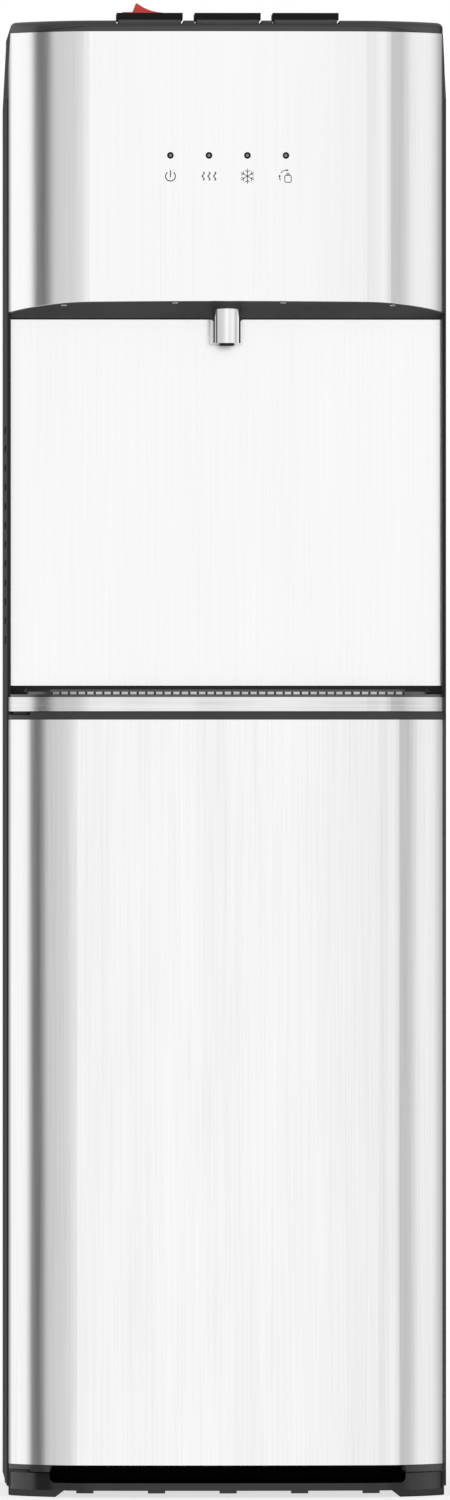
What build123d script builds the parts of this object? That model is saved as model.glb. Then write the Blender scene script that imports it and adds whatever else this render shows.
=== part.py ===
from build123d import *
import math
import os

# Bottom-loading water cooler, in millimetres.
# X runs to the right as seen from the front, Y to the back and Z up. The floor is at Z = 0.

# Overall size
WIDTH = 308.0
DEPTH = 360.0
CONDENSER_SPACE = 28.0
FACE_BORDER = 1.0
ALCOVE_BORDER = 3.0
RECESS_DEPTH = 80.0

# Curve of the front seen from above: four radii, each up to the turn named with it.
# The door has the same wide bow, with a closer corner, flank and edge.
BOW_RADIUS = 1400.0
CORNER_RADIUS = 40.0
CORNER_TURN = 30.0
FLANK_RADIUS = 100.0
FLANK_TURN = 60.0
EDGE_RADIUS = 18.0
DOOR_CORNER_RADIUS = 34.0
DOOR_FLANK_RADIUS = 85.0
DOOR_EDGE_RADIUS = 15.3

# Heights, stacked from the floor up
FOOT_PAD = 4.7
PLINTH = 11.8
FLOOR_DECK = 3.5
DOOR_LIFT = 6.0
DOOR_STEEL = 520.8
DOOR_CAP = 5.3
DOOR_TOP_GAP = 0.6
TRIM = 9.9
LEDGE_LIP = 1.9
GRILLE = 1.8
LEDGE_RISE = 3.7
PANEL_LIFT = 2.6
PANEL_HEIGHT = 257.0
HOOD_LIFT = 11.5
HOOD_HEIGHT = 188.2
COVER_HEIGHT = 7.7
PADDLE_STAND = 5.6
LOCK_HEIGHT = 7.4
SKIRT_DROP = 45.0
SKIRT_LEAN = 2.4
DECK_RISE = 1.8

# Walls and clearances
SHEET = 1.2
SKIN = 0.8
WALL = 2.5
BOND = 0.1
SEAT = 0.2
SHADOW = 0.3
RUN_FIT = 0.06

# Plinth, feet and bottle floor
BASE_INSET = 1.0
FOOT_LENGTH = 48.0
FOOT_CORNER = 38.0
FOOT_CHAMFER = 6.0
KICK_HALF = 124.5
KICK_DEPTH = 80.0
KICK_CORNER = 4.0
KICK_BAR = 5.2
BASE_WALL = 3.0
TOOTH_WIDTH = 12.0
TOOTH_PITCH = 50.0
TOOTH_DROP = 1.8
FLOOR_SHEET = 3.0
BOTTLE_RADIUS = 135.0
BOTTLE_DISH = 1.0

# Side and rear panels
PANEL_FLOOR_GAP = 6.4
HEM = 2.0
FRAME_FLANGE = 14.3
LOUVRE_COUNT = 12
LOUVRE_PITCH = 13.46
LOUVRE_LENGTH = 90.0
LOUVRE_SLOT = 5.0
LOUVRE_LIFT = 31.8
LOUVRE_FRONT = 30.0
LOUVRE_BLADE = 1.2
LOUVRE_REACH = 3.0
VENT_COUNT = 10
VENT_PITCH = 12.0
VENT_SLOT = 4.0
VENT_LIFT = 72.0
VENT_FIELDS = ((-10.0, 60.0), (100.0, 44.0))

# Door and its hinges
DOOR_SEAL_GAP = 5.6
HINGE_INSET = 11.5
HINGE_DEPTH = 10.0
PIN_RADIUS = 2.0
PIN_LENGTH = 11.0
HINGE_PLATE = 2.0
HINGE_HALF = 8.0
HINGE_NOSE = 6.0
HINGE_SWEEP = 16.0
PLATE_GAP = 0.6
DOOR_CAP_LOW = 4.9
CAP_INSET = 0.3
CAP_WEB = 1.2
DOOR_POCKET_HALF = 105.0
DOOR_POCKET_DEPTH = 8.0
DOOR_POCKET_MARGIN = 26.0
MAGNET_WIDTH = 9.0
MAGNET_HEIGHT = 40.0
MAGNET_LIFT = 280.0

# Drip ledge, tray and grille
LAND_INSET = 11.0
LAND_CHAMFER = 1.8
TRAY_HALF = 124.0
TRAY_FRONT = 8.0
TRAY_REAR = 1.6
TRAY_FLOOR = 2.8
TRAY_CLEAR = 0.6
TRAY_LIFT = 0.4
TRAY_WALL = 1.6
BAR_COUNT = 41
BAR_PITCH = 6.0
BAR_WIDTH = 4.4
CROSS_BAR = 2.2
CROSS_COUNT = 4

# Hood, its controls and its outlet
LINER_TOP = 15.7
UNDER_REAR_GAP = 4.0
CARRIER_FLANGE = 18.0
SHELF_DROP = 42.0
SHELF_THICK = 3.0
SHELF_HALF = 95.0
SHELF_REAR = 48.0
LENS_RADIUS = 2.25
LENS_PITCH = 26.87
LENS_DROP = 86.7
LENS_RECESS = 0.2
BOARD_HALF = 58.0
BOARD_HEIGHT = 32.0
BOARD_THICK = 1.6
BOARD_STAND = 8.0
BOSS_RADIUS = 3.0
BOSS_HALF = 50.0
SPOUT_RADIUS = 11.2
SPOUT_BORE = 6.5
SPOUT_CENTRE = 44.0
SPOUT_BACK = 12.0
SPOUT_LOW = 28.8
NOZZLE_RADIUS = 5.3
NOZZLE_BORE = 3.5
NOZZLE_TIP = 1.8
NOZZLE_RISE = 14.0
MANIFOLD_HALF = 22.0
MANIFOLD_FRONT = 33.0
MANIFOLD_REAR = 56.0
MANIFOLD_TOP = 32.0
NIPPLE_RADIUS = 3.0
NIPPLE_BORE = 1.8
NIPPLE_LENGTH = 10.0
NIPPLE_PITCH = 14.0
HOSE_WALL = 1.4
HOSE_BEND = 14.0
VALVE_RADIUS = 10.0
VALVE_HEIGHT = 21.0
VALVE_NECK = 7.0
VALVE_NECK_HEIGHT = 13.0
VALVE_BORE = 4.2
VALVE_SETBACK = 30.0
VALVE_PORT = 10.0
VALVE_NIPPLE = 9.0

# Top cover, paddles and child lock
COVER_FILLET = 4.0
COVER_WALL = 3.0
COVER_TOP_WALL = 2.7
COVER_REAR_WALL = 2.5
SKIRT_WALL = 2.0
REAR_DECK_HALF = 114.0
REAR_DECK_FRONT = 200.0
REAR_DECK_MARGIN = 22.0
REAR_DECK_CORNER = 8.0
GROOVE_DROP = 3.3
GROOVE_WIDTH = 0.8
GROOVE_DEPTH = 0.7
GROOVE_FALL = 0.164
PADDLE_WIDTH = 46.0
PADDLE_GAP = 8.5
PADDLE_CLEAR = 0.4
PADDLE_SETBACK = 12.0
PADDLE_LENGTH = 48.0
PADDLE_PLATE = 4.7
PADDLE_TOP_WALL = 2.5
PADDLE_WALL = 2.0
CHIN_INSET = 1.2
CHIN_REACH = 4.5
CHIN_DEPTH = 3.2
CHIN_LIP = 1.2
PIVOT_SETBACK = 56.0
PIVOT_DROP = 13.8
HUB_RADIUS = 5.2
SHAFT_RADIUS = 2.0
LUG_WIDTH = 6.0
LUG_DEPTH = 11.0
LUG_DROP = 5.0
PEG_RADIUS = 2.5
PEG_ENTRY = 5.0
LOCK_SETBACK = 42.0
LOCK_DEPTH = 16.0
LOCK_EDGE = 4.2
LOCK_FLANGE = 7.0
LOCK_FLANGE_HEIGHT = 1.3
LOCK_RAMP = 2.4
LOCK_CREST = 1.0
LOCK_TAIL = 17.6
LOCK_TAIL_HEIGHT = 0.8
LOCK_STEM_START = 11.3
LOCK_STEM = 8.0
LOCK_STEM_DEPTH = 6.0
LOCK_BARB_DEPTH = 10.0
LOCK_BARB = 1.2
LOCK_TRAVEL = 10.0

# Machine space behind the alcove
MACHINE_LIFT = 3.3
MACHINE_ROOM = 208.0
DECK_FLANGE = 12.0
BRACKET_FRONT = 26.0
NOTCH_INSET = 6.6
NOTCH_WIDTH = 28.0
NOTCH_FRONT = 8.0
NOTCH_REAR = 55.0
FOAM_HALF = 100.0
FOAM_FRONT = 34.0
FOAM_REAR = 9.6
FOAM_BASE = 20.0
FOAM_LID = 20.0
COLD_TANK_RADIUS = 70.0
COLD_TANK_WALL = 1.5
JACKET_WALL = 2.0
JACKET_LIFT = 24.0
JACKET_HEIGHT = 120.0
HOT_TANK_X = -60.0
HOT_TANK_RADIUS = 52.0
HOT_TANK_GAP = 3.0
HOT_TANK_HEIGHT = 147.0
HOT_TANK_FILLET = 8.0
HOT_TANK_WALL = 1.5
HOT_LEG = 20.0
HOT_LEG_RADIUS = 5.0
HOT_LEG_CIRCLE = 36.0
HOT_LINE_GAP = 12.0
DRAIN_LIFT = 32.0
DRAIN_RADIUS = 6.0
DRAIN_BORE = 4.0
DRAIN_STICK_OUT = 6.0
DRAIN_CAP_RADIUS = 9.0
DRAIN_CAP_LENGTH = 11.0
COMPRESSOR_INSET = 97.6
COMPRESSOR_RADIUS = 62.0
COMPRESSOR_GAP = 18.0
COMPRESSOR_HEIGHT = 146.0
COMPRESSOR_DOME = 38.0
COMPRESSOR_PLATE = 3.0
COMPRESSOR_PLATE_HALF = 70.0
COMPRESSOR_PLATE_DEPTH = 50.0
COMPRESSOR_SEAM = 3.0
MOUNT_RADIUS = 9.0
MOUNT_WAIST = 6.5
MOUNT_HEIGHT = 15.0
MOUNT_INSET = 11.0
SUCTION_OFFSET = 34.0
SUCTION_TOP = 180.0
DISCHARGE_LIFT = 72.0
LINE_RADIUS = 2.5
CAPILLARY_RADIUS = 1.5
LINE_BEND = 9.0
LINE_INSET = 18.6
SUCTION_INSET = 21.6
SUCTION_Y = 40.0
CAPILLARY_Y = 20.0
LINE_ENTRY = 24.0
CAPILLARY_ENTRY = 14.0
DRIER_RADIUS = 8.0
DRIER_LENGTH = 76.0
DRIER_LIFT = 32.0
DRIER_SETBACK = 11.4
PUMP_INSET = 44.6
PUMP_HALF = 25.0
PUMP_DEPTH = 40.0
PUMP_HEIGHT = 44.0
PUMP_SETBACK = 11.3
MOTOR_RADIUS = 18.0
MOTOR_LENGTH = 50.0
SADDLE_WIDTH = 20.0
SADDLE_LENGTH = 12.0
RISER_OFFSET = 14.0
INTAKE_OFFSET = -16.0

# Condenser behind the rear panel
COIL_RADIUS = 2.5
COIL_SETBACK = 12.0
COIL_BEND = 15.0
COIL_INSET = 52.6
COIL_COUNT = 10
COIL_PITCH = 44.0
COIL_TOP = 38.0
COIL_RISE = 12.0
COIL_START = 20.0
WIRE_COUNT = 15
WIRE_PITCH = 12.0
WIRE = 1.6
WIRE_END = 8.0
SPACER_WIDTH = 9.0
SPACER_HEIGHT = 16.0
SPACER_X = 66.0
SPACER_COUNT = 5

# Bottle probe, switches and cord gland
PROBE_COLLAR = 22.0
PROBE_COLLAR_HEIGHT = 12.0
PROBE_STEM = 6.0
PROBE_STEM_LENGTH = 450.0
PROBE_FOOT = 8.0
PROBE_FOOT_LENGTH = 24.0
PROBE_DROP = 36.0
SWITCH_INSET = 64.0
SWITCH_LIFT = 124.0
SWITCH_PITCH = 24.0
SWITCH_BODY_DEPTH = 10.6
SWITCH_WALL = 3.0
SWITCH_FLANGE = 1.6
SWITCH_RIM = 4.0
ROCKER_HALF = 9.4
ROCKER_WIDTH = 18.0
ROCKER_SIDE_GAP = 0.3
ROCKER_END_GAP = 1.1
ROCKER_TILT = 8.0
ROCKER_DEPTH = 2.5
ROCKER_FACE = 3.6
ROCKER_HEEL = 5.0
ROCKER_HEEL_HALF = 6.0
ROCKER_PIN = 1.5
ROCKER_PIN_LENGTH = 1.6
GLAND_X = -35.0
GLAND_LIFT = 22.0
GLAND_RADIUS = 7.0
GLAND_FLANGE = 10.0
GLAND_BORE = 4.0
GLAND_STAND = 3.0
GLAND_LENGTH = 10.0

# Planes and levels that follow from the sizes
BODY_HALF = WIDTH / 2
FACE_HALF = BODY_HALF - FACE_BORDER
ALCOVE_HALF = BODY_HALF - ALCOVE_BORDER
FRONT_Y = -DEPTH / 2
REAR_Y = DEPTH / 2
BACK_Y = REAR_Y - CONDENSER_SPACE
RECESS_Y = FRONT_Y + RECESS_DEPTH
INNER_HALF = BODY_HALF - SHEET - SEAT
Z_PLINTH_LOW = FOOT_PAD
Z_PLINTH = Z_PLINTH_LOW + PLINTH
Z_DECK = Z_PLINTH + FLOOR_DECK
Z_DOOR_LOW = Z_PLINTH + DOOR_LIFT
Z_DOOR_STEEL = Z_DOOR_LOW + DOOR_STEEL
Z_DOOR_TOP = Z_DOOR_STEEL + DOOR_CAP
Z_TRIM_LOW = Z_DOOR_TOP + DOOR_TOP_GAP
Z_TRIM = Z_TRIM_LOW + TRIM
Z_LIP = Z_TRIM + LEDGE_LIP
Z_GRILLE = Z_LIP + GRILLE
Z_LEDGE = Z_LIP + LEDGE_RISE
Z_PANEL_LOW = Z_LEDGE + PANEL_LIFT
Z_PANEL = Z_PANEL_LOW + PANEL_HEIGHT
Z_HOOD_LOW = Z_PANEL + HOOD_LIFT
Z_HOOD = Z_HOOD_LOW + HOOD_HEIGHT
Z_COVER = Z_HOOD + COVER_HEIGHT
Z_PADDLE = Z_COVER + PADDLE_STAND
Z_SKIRT = Z_HOOD - SKIRT_DROP
UNDER_FALL = (HOOD_LIFT - SHADOW) / RECESS_DEPTH
CARRIER_OUT = SKIN + BOND
CARRIER_IN = CARRIER_OUT + WALL
COVER_HALF = BODY_HALF - SKIRT_LEAN
HOSE_BORE = NIPPLE_RADIUS + RUN_FIT
HOSE_RADIUS = HOSE_BORE + HOSE_WALL
HOOD_CURVE = (CORNER_RADIUS, FLANK_RADIUS, EDGE_RADIUS)
DOOR_CURVE = (DOOR_CORNER_RADIUS, DOOR_FLANK_RADIUS, DOOR_EDGE_RADIUS)


def bow_turn(half, curve):
    """Turn in degrees at which the wide middle arc of the front ends, for a front of this half width."""
    corner_radius, flank_radius, edge_radius = curve
    corner = math.sin(math.radians(CORNER_TURN))
    flank = math.sin(math.radians(FLANK_TURN))
    rest = corner_radius * corner + flank_radius * (flank - corner) + edge_radius * (1 - flank)
    return math.degrees(math.asin((half - rest) / (BOW_RADIUS - corner_radius)))


def side_y(half, curve=HOOD_CURVE):
    """Depth at which the bowed front has turned into the straight side."""
    corner_radius, flank_radius, edge_radius = curve
    middle = math.cos(math.radians(bow_turn(half, curve)))
    corner = math.cos(math.radians(CORNER_TURN))
    flank = math.cos(math.radians(FLANK_TURN))
    bow = BOW_RADIUS * (1 - middle) + corner_radius * (middle - corner)
    return FRONT_Y + bow + flank_radius * (corner - flank) + edge_radius * flank


def front_at(x):
    """Depth of the outer face on the middle arc of the front."""
    return FRONT_Y + BOW_RADIUS - math.sqrt(BOW_RADIUS ** 2 - x ** 2)


def under(y):
    """Height of the hood's tilted lower edge at depth y."""
    return Z_HOOD_LOW - (y - FRONT_Y) * UNDER_FALL


def front_line(inset, half, curve):
    """Edges of the bowed front, drawn from the left side to the right one."""
    corner_radius, flank_radius, edge_radius = curve
    turn = bow_turn(half, curve)
    arcs = [
        (edge_radius, 90 - FLANK_TURN),
        (flank_radius, FLANK_TURN - CORNER_TURN),
        (corner_radius, CORNER_TURN - turn),
        (BOW_RADIUS, 2 * turn),
        (corner_radius, CORNER_TURN - turn),
        (flank_radius, FLANK_TURN - CORNER_TURN),
        (edge_radius, 90 - FLANK_TURN),
    ]
    point = Vector(inset - half, side_y(half, curve))
    heading = Vector(0, -1)
    edges = []
    for radius, sweep_turn in arcs:
        arc = JernArc(point, heading, radius - inset, sweep_turn)
        edges.append(arc)
        point = arc @ 1
        heading = arc % 1
    return edges


def bowed(inset, rear, low, high, half=FACE_HALF, curve=HOOD_CURVE):
    """Solid behind the bowed front, set in by an inset, back to a rear plane."""
    edges = front_line(inset, half, curve)
    left = edges[0] @ 0
    right = edges[-1] @ 1
    reach = max(rear, side_y(half, curve)) + WALL
    back = Polyline(right, (right.X, reach), (left.X, reach), left)
    face = make_face(edges + list(back.edges()))
    solid = extrude(Pos(0, 0, low) * face, high - low, dir=(0, 0, 1))
    return solid - box((-half, half), (rear, reach + WALL), (low - WALL, high + WALL))


def band(outer, inner, rear, low, high, curve=HOOD_CURVE):
    """Sheet that follows the bowed front between two insets."""
    shell = bowed(outer, rear, low, high, curve=curve)
    return shell - bowed(inner, rear + WALL, low - WALL, high + WALL, curve=curve)


def box(x, y, z):
    """Block between limits along X, Y and Z."""
    size = (x[1] - x[0], y[1] - y[0], z[1] - z[0])
    return Pos(x[0], y[0], z[0]) * Box(*size, align=(Align.MIN, Align.MIN, Align.MIN))


def rod(start, axis, radius, length):
    """Round bar from a point along an axis."""
    return extrude(Plane(start, z_dir=axis) * Circle(radius), length)


def side_prism(points, x0, x1):
    """Profile in Y and Z, drawn out along X."""
    face = make_face(Polyline(*points, close=True))
    return extrude(Plane.YZ.offset(x0) * face, x1 - x0, dir=(1, 0, 0))


def front_prism(points, y0, y1):
    """Profile in X and Z, drawn out along Y."""
    face = make_face(Polyline(*points, close=True))
    return extrude(Plane.XZ.offset(-y0) * face, y1 - y0, dir=(0, 1, 0))


def tube(points, radius, bend, bore=0.0):
    """Round bar or pipe along straight runs with bends between them."""
    path = Line(*points) if len(points) == 2 else FilletPolyline(*points, radius=bend)
    section = Circle(radius)
    if bore:
        section = section - Circle(bore)
    return sweep(Plane(path @ 0, z_dir=path % 0) * section, path)


def both_sides(shape):
    """A piece and its mirror image across the middle plane."""
    return shape + mirror(shape, about=Plane.YZ)


SIDE_Y = side_y(FACE_HALF)
BASE_HALF = INNER_HALF
BASE_REAR = BACK_Y - SHEET - SHEET - SEAT
INSIDE_REAR = BACK_Y - SHEET - SHEET - SHADOW
KICK_REAR = FRONT_Y + KICK_DEPTH
PANEL_REAR = BACK_Y - SHEET
FAR = DEPTH

# Lines that several pieces share
LINER_FRONT_Y = RECESS_Y + SKIN + BOND
LINER_REAR_Y = LINER_FRONT_Y + WALL
DOOR_REAR_Y = SIDE_Y - DOOR_SEAL_GAP
HINGE_X = -(FACE_HALF - HINGE_INSET)
HINGE_Y = DOOR_REAR_Y - HINGE_DEPTH
Z_MACHINE = Z_LEDGE + MACHINE_LIFT
Z_BRACKET = Z_MACHINE + MACHINE_ROOM
Z_SHELF = Z_HOOD - SHELF_DROP
Z_VALVE = Z_SHELF + SHELF_THICK
Z_FEED = Z_VALVE + VALVE_PORT
Z_LENS = Z_HOOD - LENS_DROP
Z_PIVOT = Z_PADDLE - PIVOT_DROP
PIVOT_Y = FRONT_Y + PIVOT_SETBACK
VALVE_Y = FRONT_Y + VALVE_SETBACK
BOARD_Y = FRONT_Y + BOARD_STAND
SPOUT_Y = FRONT_Y + SPOUT_CENTRE
PADDLE_PITCH = PADDLE_WIDTH + PADDLE_GAP
PADDLE_XS = (-PADDLE_PITCH, 0.0, PADDLE_PITCH)
PADDLE_FRONT_Y = FRONT_Y + PADDLE_SETBACK
PADDLE_REAR_Y = PADDLE_FRONT_Y + PADDLE_LENGTH
Z_PLATE = Z_PADDLE - PADDLE_PLATE
Z_CHIN = Z_PLATE - CHIN_DEPTH
Z_NOTCH = Z_COVER - COVER_TOP_WALL
LENS_XS = (-1.5 * LENS_PITCH, -0.5 * LENS_PITCH, 0.5 * LENS_PITCH, 1.5 * LENS_PITCH)
FOAM_FRONT_Y = LINER_REAR_Y + FOAM_FRONT
FOAM_REAR_Y = INSIDE_REAR - FOAM_REAR
COLD_Y = (FOAM_FRONT_Y + FOAM_REAR_Y) / 2
Z_FOAM = Z_FEED - FOAM_LID / 2
Z_COLD = Z_BRACKET + FOAM_BASE
HOT_TANK_Y = LINER_REAR_Y + HOT_TANK_GAP + HOT_TANK_RADIUS
Z_HOT = Z_MACHINE + HOT_LEG
HOT_LINE_Y = LINER_REAR_Y + HOT_LINE_GAP + HOSE_RADIUS
Z_DRAIN = Z_MACHINE + DRAIN_LIFT
COMPRESSOR_Y = INSIDE_REAR - COMPRESSOR_GAP - COMPRESSOR_RADIUS
Z_SHELL = Z_MACHINE + MOUNT_HEIGHT + COMPRESSOR_PLATE
Z_DISCHARGE = Z_MACHINE + DISCHARGE_LIFT
Z_SUCTION = Z_MACHINE + SUCTION_TOP
COMPRESSOR_X = INNER_HALF - COMPRESSOR_INSET
LINE_X = INNER_HALF - LINE_INSET
SUCTION_X = INNER_HALF - SUCTION_INSET
SUCTION_STUB_X = COMPRESSOR_X + SUCTION_OFFSET
Z_DRIER = Z_MACHINE + DRIER_LIFT
DRIER_REAR_Y = INSIDE_REAR - DRIER_SETBACK
DRIER_FRONT_Y = DRIER_REAR_Y - DRIER_LENGTH
COIL_HALF = INNER_HALF - COIL_INSET
COIL_Y = REAR_Y - COIL_SETBACK
Z_COIL = Z_MACHINE - COIL_TOP
Z_RISER = Z_MACHINE + COIL_RISE
PUMP_REAR_Y = INSIDE_REAR - PUMP_SETBACK
PUMP_MID_Y = PUMP_REAR_Y - PUMP_DEPTH / 2
PUMP_X = PUMP_INSET - INNER_HALF
RISER_X = PUMP_X + RISER_OFFSET
INTAKE_X = PUMP_X + INTAKE_OFFSET
Z_PROBE = Z_MACHINE - SHEET - PROBE_DROP
Z_SWITCH = Z_BRACKET + SWITCH_LIFT
PIVOT_ROCKER_Y = BACK_Y - ROCKER_DEPTH
SWITCH_X = BODY_HALF - SWITCH_INSET
SWITCH_XS = (SWITCH_X - SWITCH_PITCH, SWITCH_X, SWITCH_X + SWITCH_PITCH)
Z_GLAND = Z_MACHINE + GLAND_LIFT
NOTCH_OUTER = INNER_HALF - NOTCH_INSET
NOTCH_INNER = NOTCH_OUTER - NOTCH_WIDTH


def foot_pads():
    """Four pads, the front ones cut to the bowed front."""
    inner = BASE_HALF - FOOT_CORNER
    profile = [
        (inner, Z_PLINTH_LOW),
        (BASE_HALF, Z_PLINTH_LOW),
        (BASE_HALF, 0),
        (inner + FOOT_CHAMFER, 0),
    ]
    outline = bowed(BASE_INSET, SIDE_Y + WALL, 0, Z_PLINTH_LOW)
    outline = outline + box((-BASE_HALF, BASE_HALF), (SIDE_Y, FAR), (0, Z_PLINTH_LOW))
    front = front_prism(profile, FRONT_Y, SIDE_Y + FOOT_LENGTH / 2) & outline
    rear = front_prism(profile, BASE_REAR - FOOT_LENGTH, BASE_REAR)
    return both_sides(front + rear)


def base_plinth():
    """Moulded base with its kick opening, its toothed front bar and a deck for the bottle floor."""
    base = bowed(BASE_INSET, SIDE_Y + WALL, Z_PLINTH_LOW, Z_PLINTH)
    base = base + box((-BASE_HALF, BASE_HALF), (SIDE_Y, BASE_REAR), (Z_PLINTH_LOW, Z_DECK))
    hollow_top = Z_PLINTH - BASE_WALL
    hollow = box(
        (BASE_WALL - BASE_HALF, BASE_HALF - BASE_WALL),
        (KICK_REAR + BASE_WALL, BASE_REAR - BASE_WALL),
        (0, hollow_top),
    )
    inner = BASE_HALF - FOOT_CORNER
    for y in ((FRONT_Y, SIDE_Y + FOOT_LENGTH / 2), (BASE_REAR - FOOT_LENGTH, BASE_REAR)):
        hollow = hollow - both_sides(box((inner, BASE_HALF), y, (0, hollow_top)))
    kick = box((-KICK_HALF, KICK_HALF), (FRONT_Y - WALL, KICK_REAR), (Z_PLINTH_LOW + KICK_BAR, Z_DECK))
    kick = fillet(kick.edges().filter_by(Axis.Y).sort_by(Axis.Z)[:2], KICK_CORNER)
    base = base - hollow - kick
    bar = band(BASE_INSET, BASE_INSET + BASE_WALL, SIDE_Y, Z_PLINTH_LOW - TOOTH_DROP, Z_PLINTH_LOW)
    count = int(KICK_HALF / TOOTH_PITCH)
    for step in range(-count, count + 1):
        middle = step * TOOTH_PITCH
        window = (middle - TOOTH_WIDTH / 2, middle + TOOTH_WIDTH / 2)
        base = base + (bar & box(window, (FRONT_Y, SIDE_Y), (0, Z_PLINTH_LOW)))
    return base


def bottle_floor():
    """Floor of the bottle space with a shallow round dish."""
    top = Z_DECK + FLOOR_SHEET
    front = SIDE_Y + HEM + SEAT
    plate = box((-BASE_HALF, BASE_HALF), (front, INSIDE_REAR), (Z_DECK, top))
    middle = (front + INSIDE_REAR) / 2
    return plate - rod((0, middle, top - BOTTLE_DISH), (0, 0, 1), BOTTLE_RADIUS, FLOOR_SHEET)


def right_side_panel():
    """Folded side sheet with front hem, frame flanges and a field of louvres."""
    outer = (BODY_HALF - SHEET, BODY_HALF)
    panel = box(outer, (SIDE_Y, PANEL_REAR), (PANEL_FLOOR_GAP, Z_SKIRT))
    panel = panel + box((FACE_HALF + SEAT, BODY_HALF), (SIDE_Y, SIDE_Y + HEM), (Z_DECK, Z_SKIRT))
    inner = BODY_HALF - SHEET - FRAME_FLANGE
    panel = panel + box((inner, BODY_HALF), (SIDE_Y, SIDE_Y + SHEET), (Z_DECK, Z_TRIM_LOW - SEAT))
    panel = panel + box((inner, BODY_HALF), (PANEL_REAR - SHEET, PANEL_REAR), (Z_DECK, Z_SKIRT))
    start = RECESS_Y + LOUVRE_FRONT
    run = (start, start + LOUVRE_LENGTH)
    face = BODY_HALF - SHEET
    for step in range(LOUVRE_COUNT):
        middle = Z_MACHINE + LOUVRE_LIFT + step * LOUVRE_PITCH
        top = middle + LOUVRE_SLOT / 2
        low = middle - LOUVRE_SLOT / 2
        panel = panel - box((face - WALL, BODY_HALF + WALL), run, (low, top))
        blade = [
            (face, top),
            (face, top + LOUVRE_BLADE),
            (face - LOUVRE_REACH, top + LOUVRE_BLADE - LOUVRE_SLOT),
            (face - LOUVRE_REACH, top - LOUVRE_SLOT),
        ]
        panel = panel + front_prism(blade, *run)
    return panel


def left_side_panel():
    """Mirror image of the right side sheet."""
    return mirror(right_side_panel(), about=Plane.YZ)


def rear_panel():
    """Flat rear sheet with vents and the openings for pipes, gland and switches."""
    panel = box((-BODY_HALF, BODY_HALF), (PANEL_REAR, BACK_Y), (PANEL_FLOOR_GAP, Z_SKIRT))
    for middle, width in VENT_FIELDS:
        for step in range(VENT_COUNT):
            height = Z_MACHINE + VENT_LIFT + step * VENT_PITCH
            slot = Plane.XZ * Pos(middle, height) * SlotOverall(width, VENT_SLOT)
            panel = panel - extrude(slot, FAR, both=True)
    holes = [
        (HOT_TANK_X, Z_DRAIN, DRAIN_RADIUS + SHADOW),
        (GLAND_X, Z_GLAND, GLAND_RADIUS + BOND),
        (COMPRESSOR_X, Z_DISCHARGE, LINE_RADIUS + SHADOW),
        (LINE_X, Z_DRIER, LINE_RADIUS + SHADOW),
    ]
    for x, z, radius in holes:
        panel = panel - rod((x, BACK_Y - WALL, z), (0, 1, 0), radius, 2 * WALL)
    half_width = switch_half_width() + BOND
    half_height = switch_half_height() + BOND
    cut = box(
        (SWITCH_X - half_width, SWITCH_X + half_width),
        (PANEL_REAR - WALL, BACK_Y + WALL),
        (Z_SWITCH - half_height, Z_SWITCH + half_height),
    )
    return panel - cut


def machine_deck():
    """Sheet deck over the bottle space that carries the machine."""
    run = (LINER_REAR_Y + SEAT, INSIDE_REAR)
    deck = box((-INNER_HALF, INNER_HALF), run, (Z_MACHINE - SHEET, Z_MACHINE))
    flange = (Z_MACHINE - SHEET - DECK_FLANGE, Z_MACHINE)
    deck = deck + both_sides(box((INNER_HALF - SHEET, INNER_HALF), run, flange))
    return deck - rod((INTAKE_X, PUMP_MID_Y, Z_MACHINE - WALL), (0, 0, 1), NIPPLE_RADIUS + SHADOW, 2 * WALL)


def tank_bracket():
    """Sheet bracket under the insulated tank, cut back where the lines pass."""
    run = (LINER_REAR_Y + BRACKET_FRONT, INSIDE_REAR)
    plate = box((-INNER_HALF, INNER_HALF), run, (Z_BRACKET - SHEET, Z_BRACKET))
    flange = (Z_BRACKET - SHEET - DECK_FLANGE, Z_BRACKET)
    plate = plate + both_sides(box((INNER_HALF - SHEET, INNER_HALF), run, flange))
    plate = plate - box((NOTCH_INNER, NOTCH_OUTER), (NOTCH_FRONT, NOTCH_REAR), (Z_BRACKET - WALL, FAR * 3))
    hole = rod((RISER_X, PUMP_MID_Y, Z_BRACKET - WALL), (0, 0, 1), HOSE_RADIUS + SHADOW, 2 * WALL)
    return plate - hole


def tray_plan(clear, low, high):
    """Plan of the tray's pocket, drawn in by a clearance."""
    rear = LINER_FRONT_Y - SHADOW - TRAY_REAR - clear
    plan = bowed(TRAY_FRONT + clear, rear, low, high)
    return plan & box((clear - TRAY_HALF, TRAY_HALF - clear), (FRONT_Y, rear), (low, high))


def drip_ledge():
    """Moulded ledge between door and alcove: low lip, raised lands with a sloped edge, tray pocket."""
    rear = LINER_FRONT_Y - SHADOW
    land = bowed(LAND_INSET, rear, Z_LIP, Z_LEDGE)
    land = chamfer(land.faces().sort_by(Axis.Z)[-1].edges().filter_by(GeomType.CIRCLE), LAND_CHAMFER)
    ledge = bowed(CARRIER_OUT, rear, Z_TRIM_LOW, Z_LIP) + land
    side = box((ALCOVE_HALF - CARRIER_OUT, BODY_HALF), (SIDE_Y - SEAT, FAR), (0, Z_PANEL))
    return ledge - both_sides(side) - tray_plan(0, Z_TRIM_LOW + TRAY_FLOOR, Z_LEDGE + WALL)


def ledge_trim():
    """Steel strip round the front of the ledge."""
    return band(0, SKIN, SIDE_Y - SEAT, Z_TRIM_LOW, Z_TRIM)


def drip_tray():
    """Lift-out tray in the ledge."""
    low = Z_TRIM_LOW + TRAY_FLOOR + TRAY_LIFT
    high = Z_LIP - SEAT
    inside = tray_plan(TRAY_CLEAR + TRAY_WALL, low + TRAY_WALL, high + WALL)
    return tray_plan(TRAY_CLEAR, low, high) - inside


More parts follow.
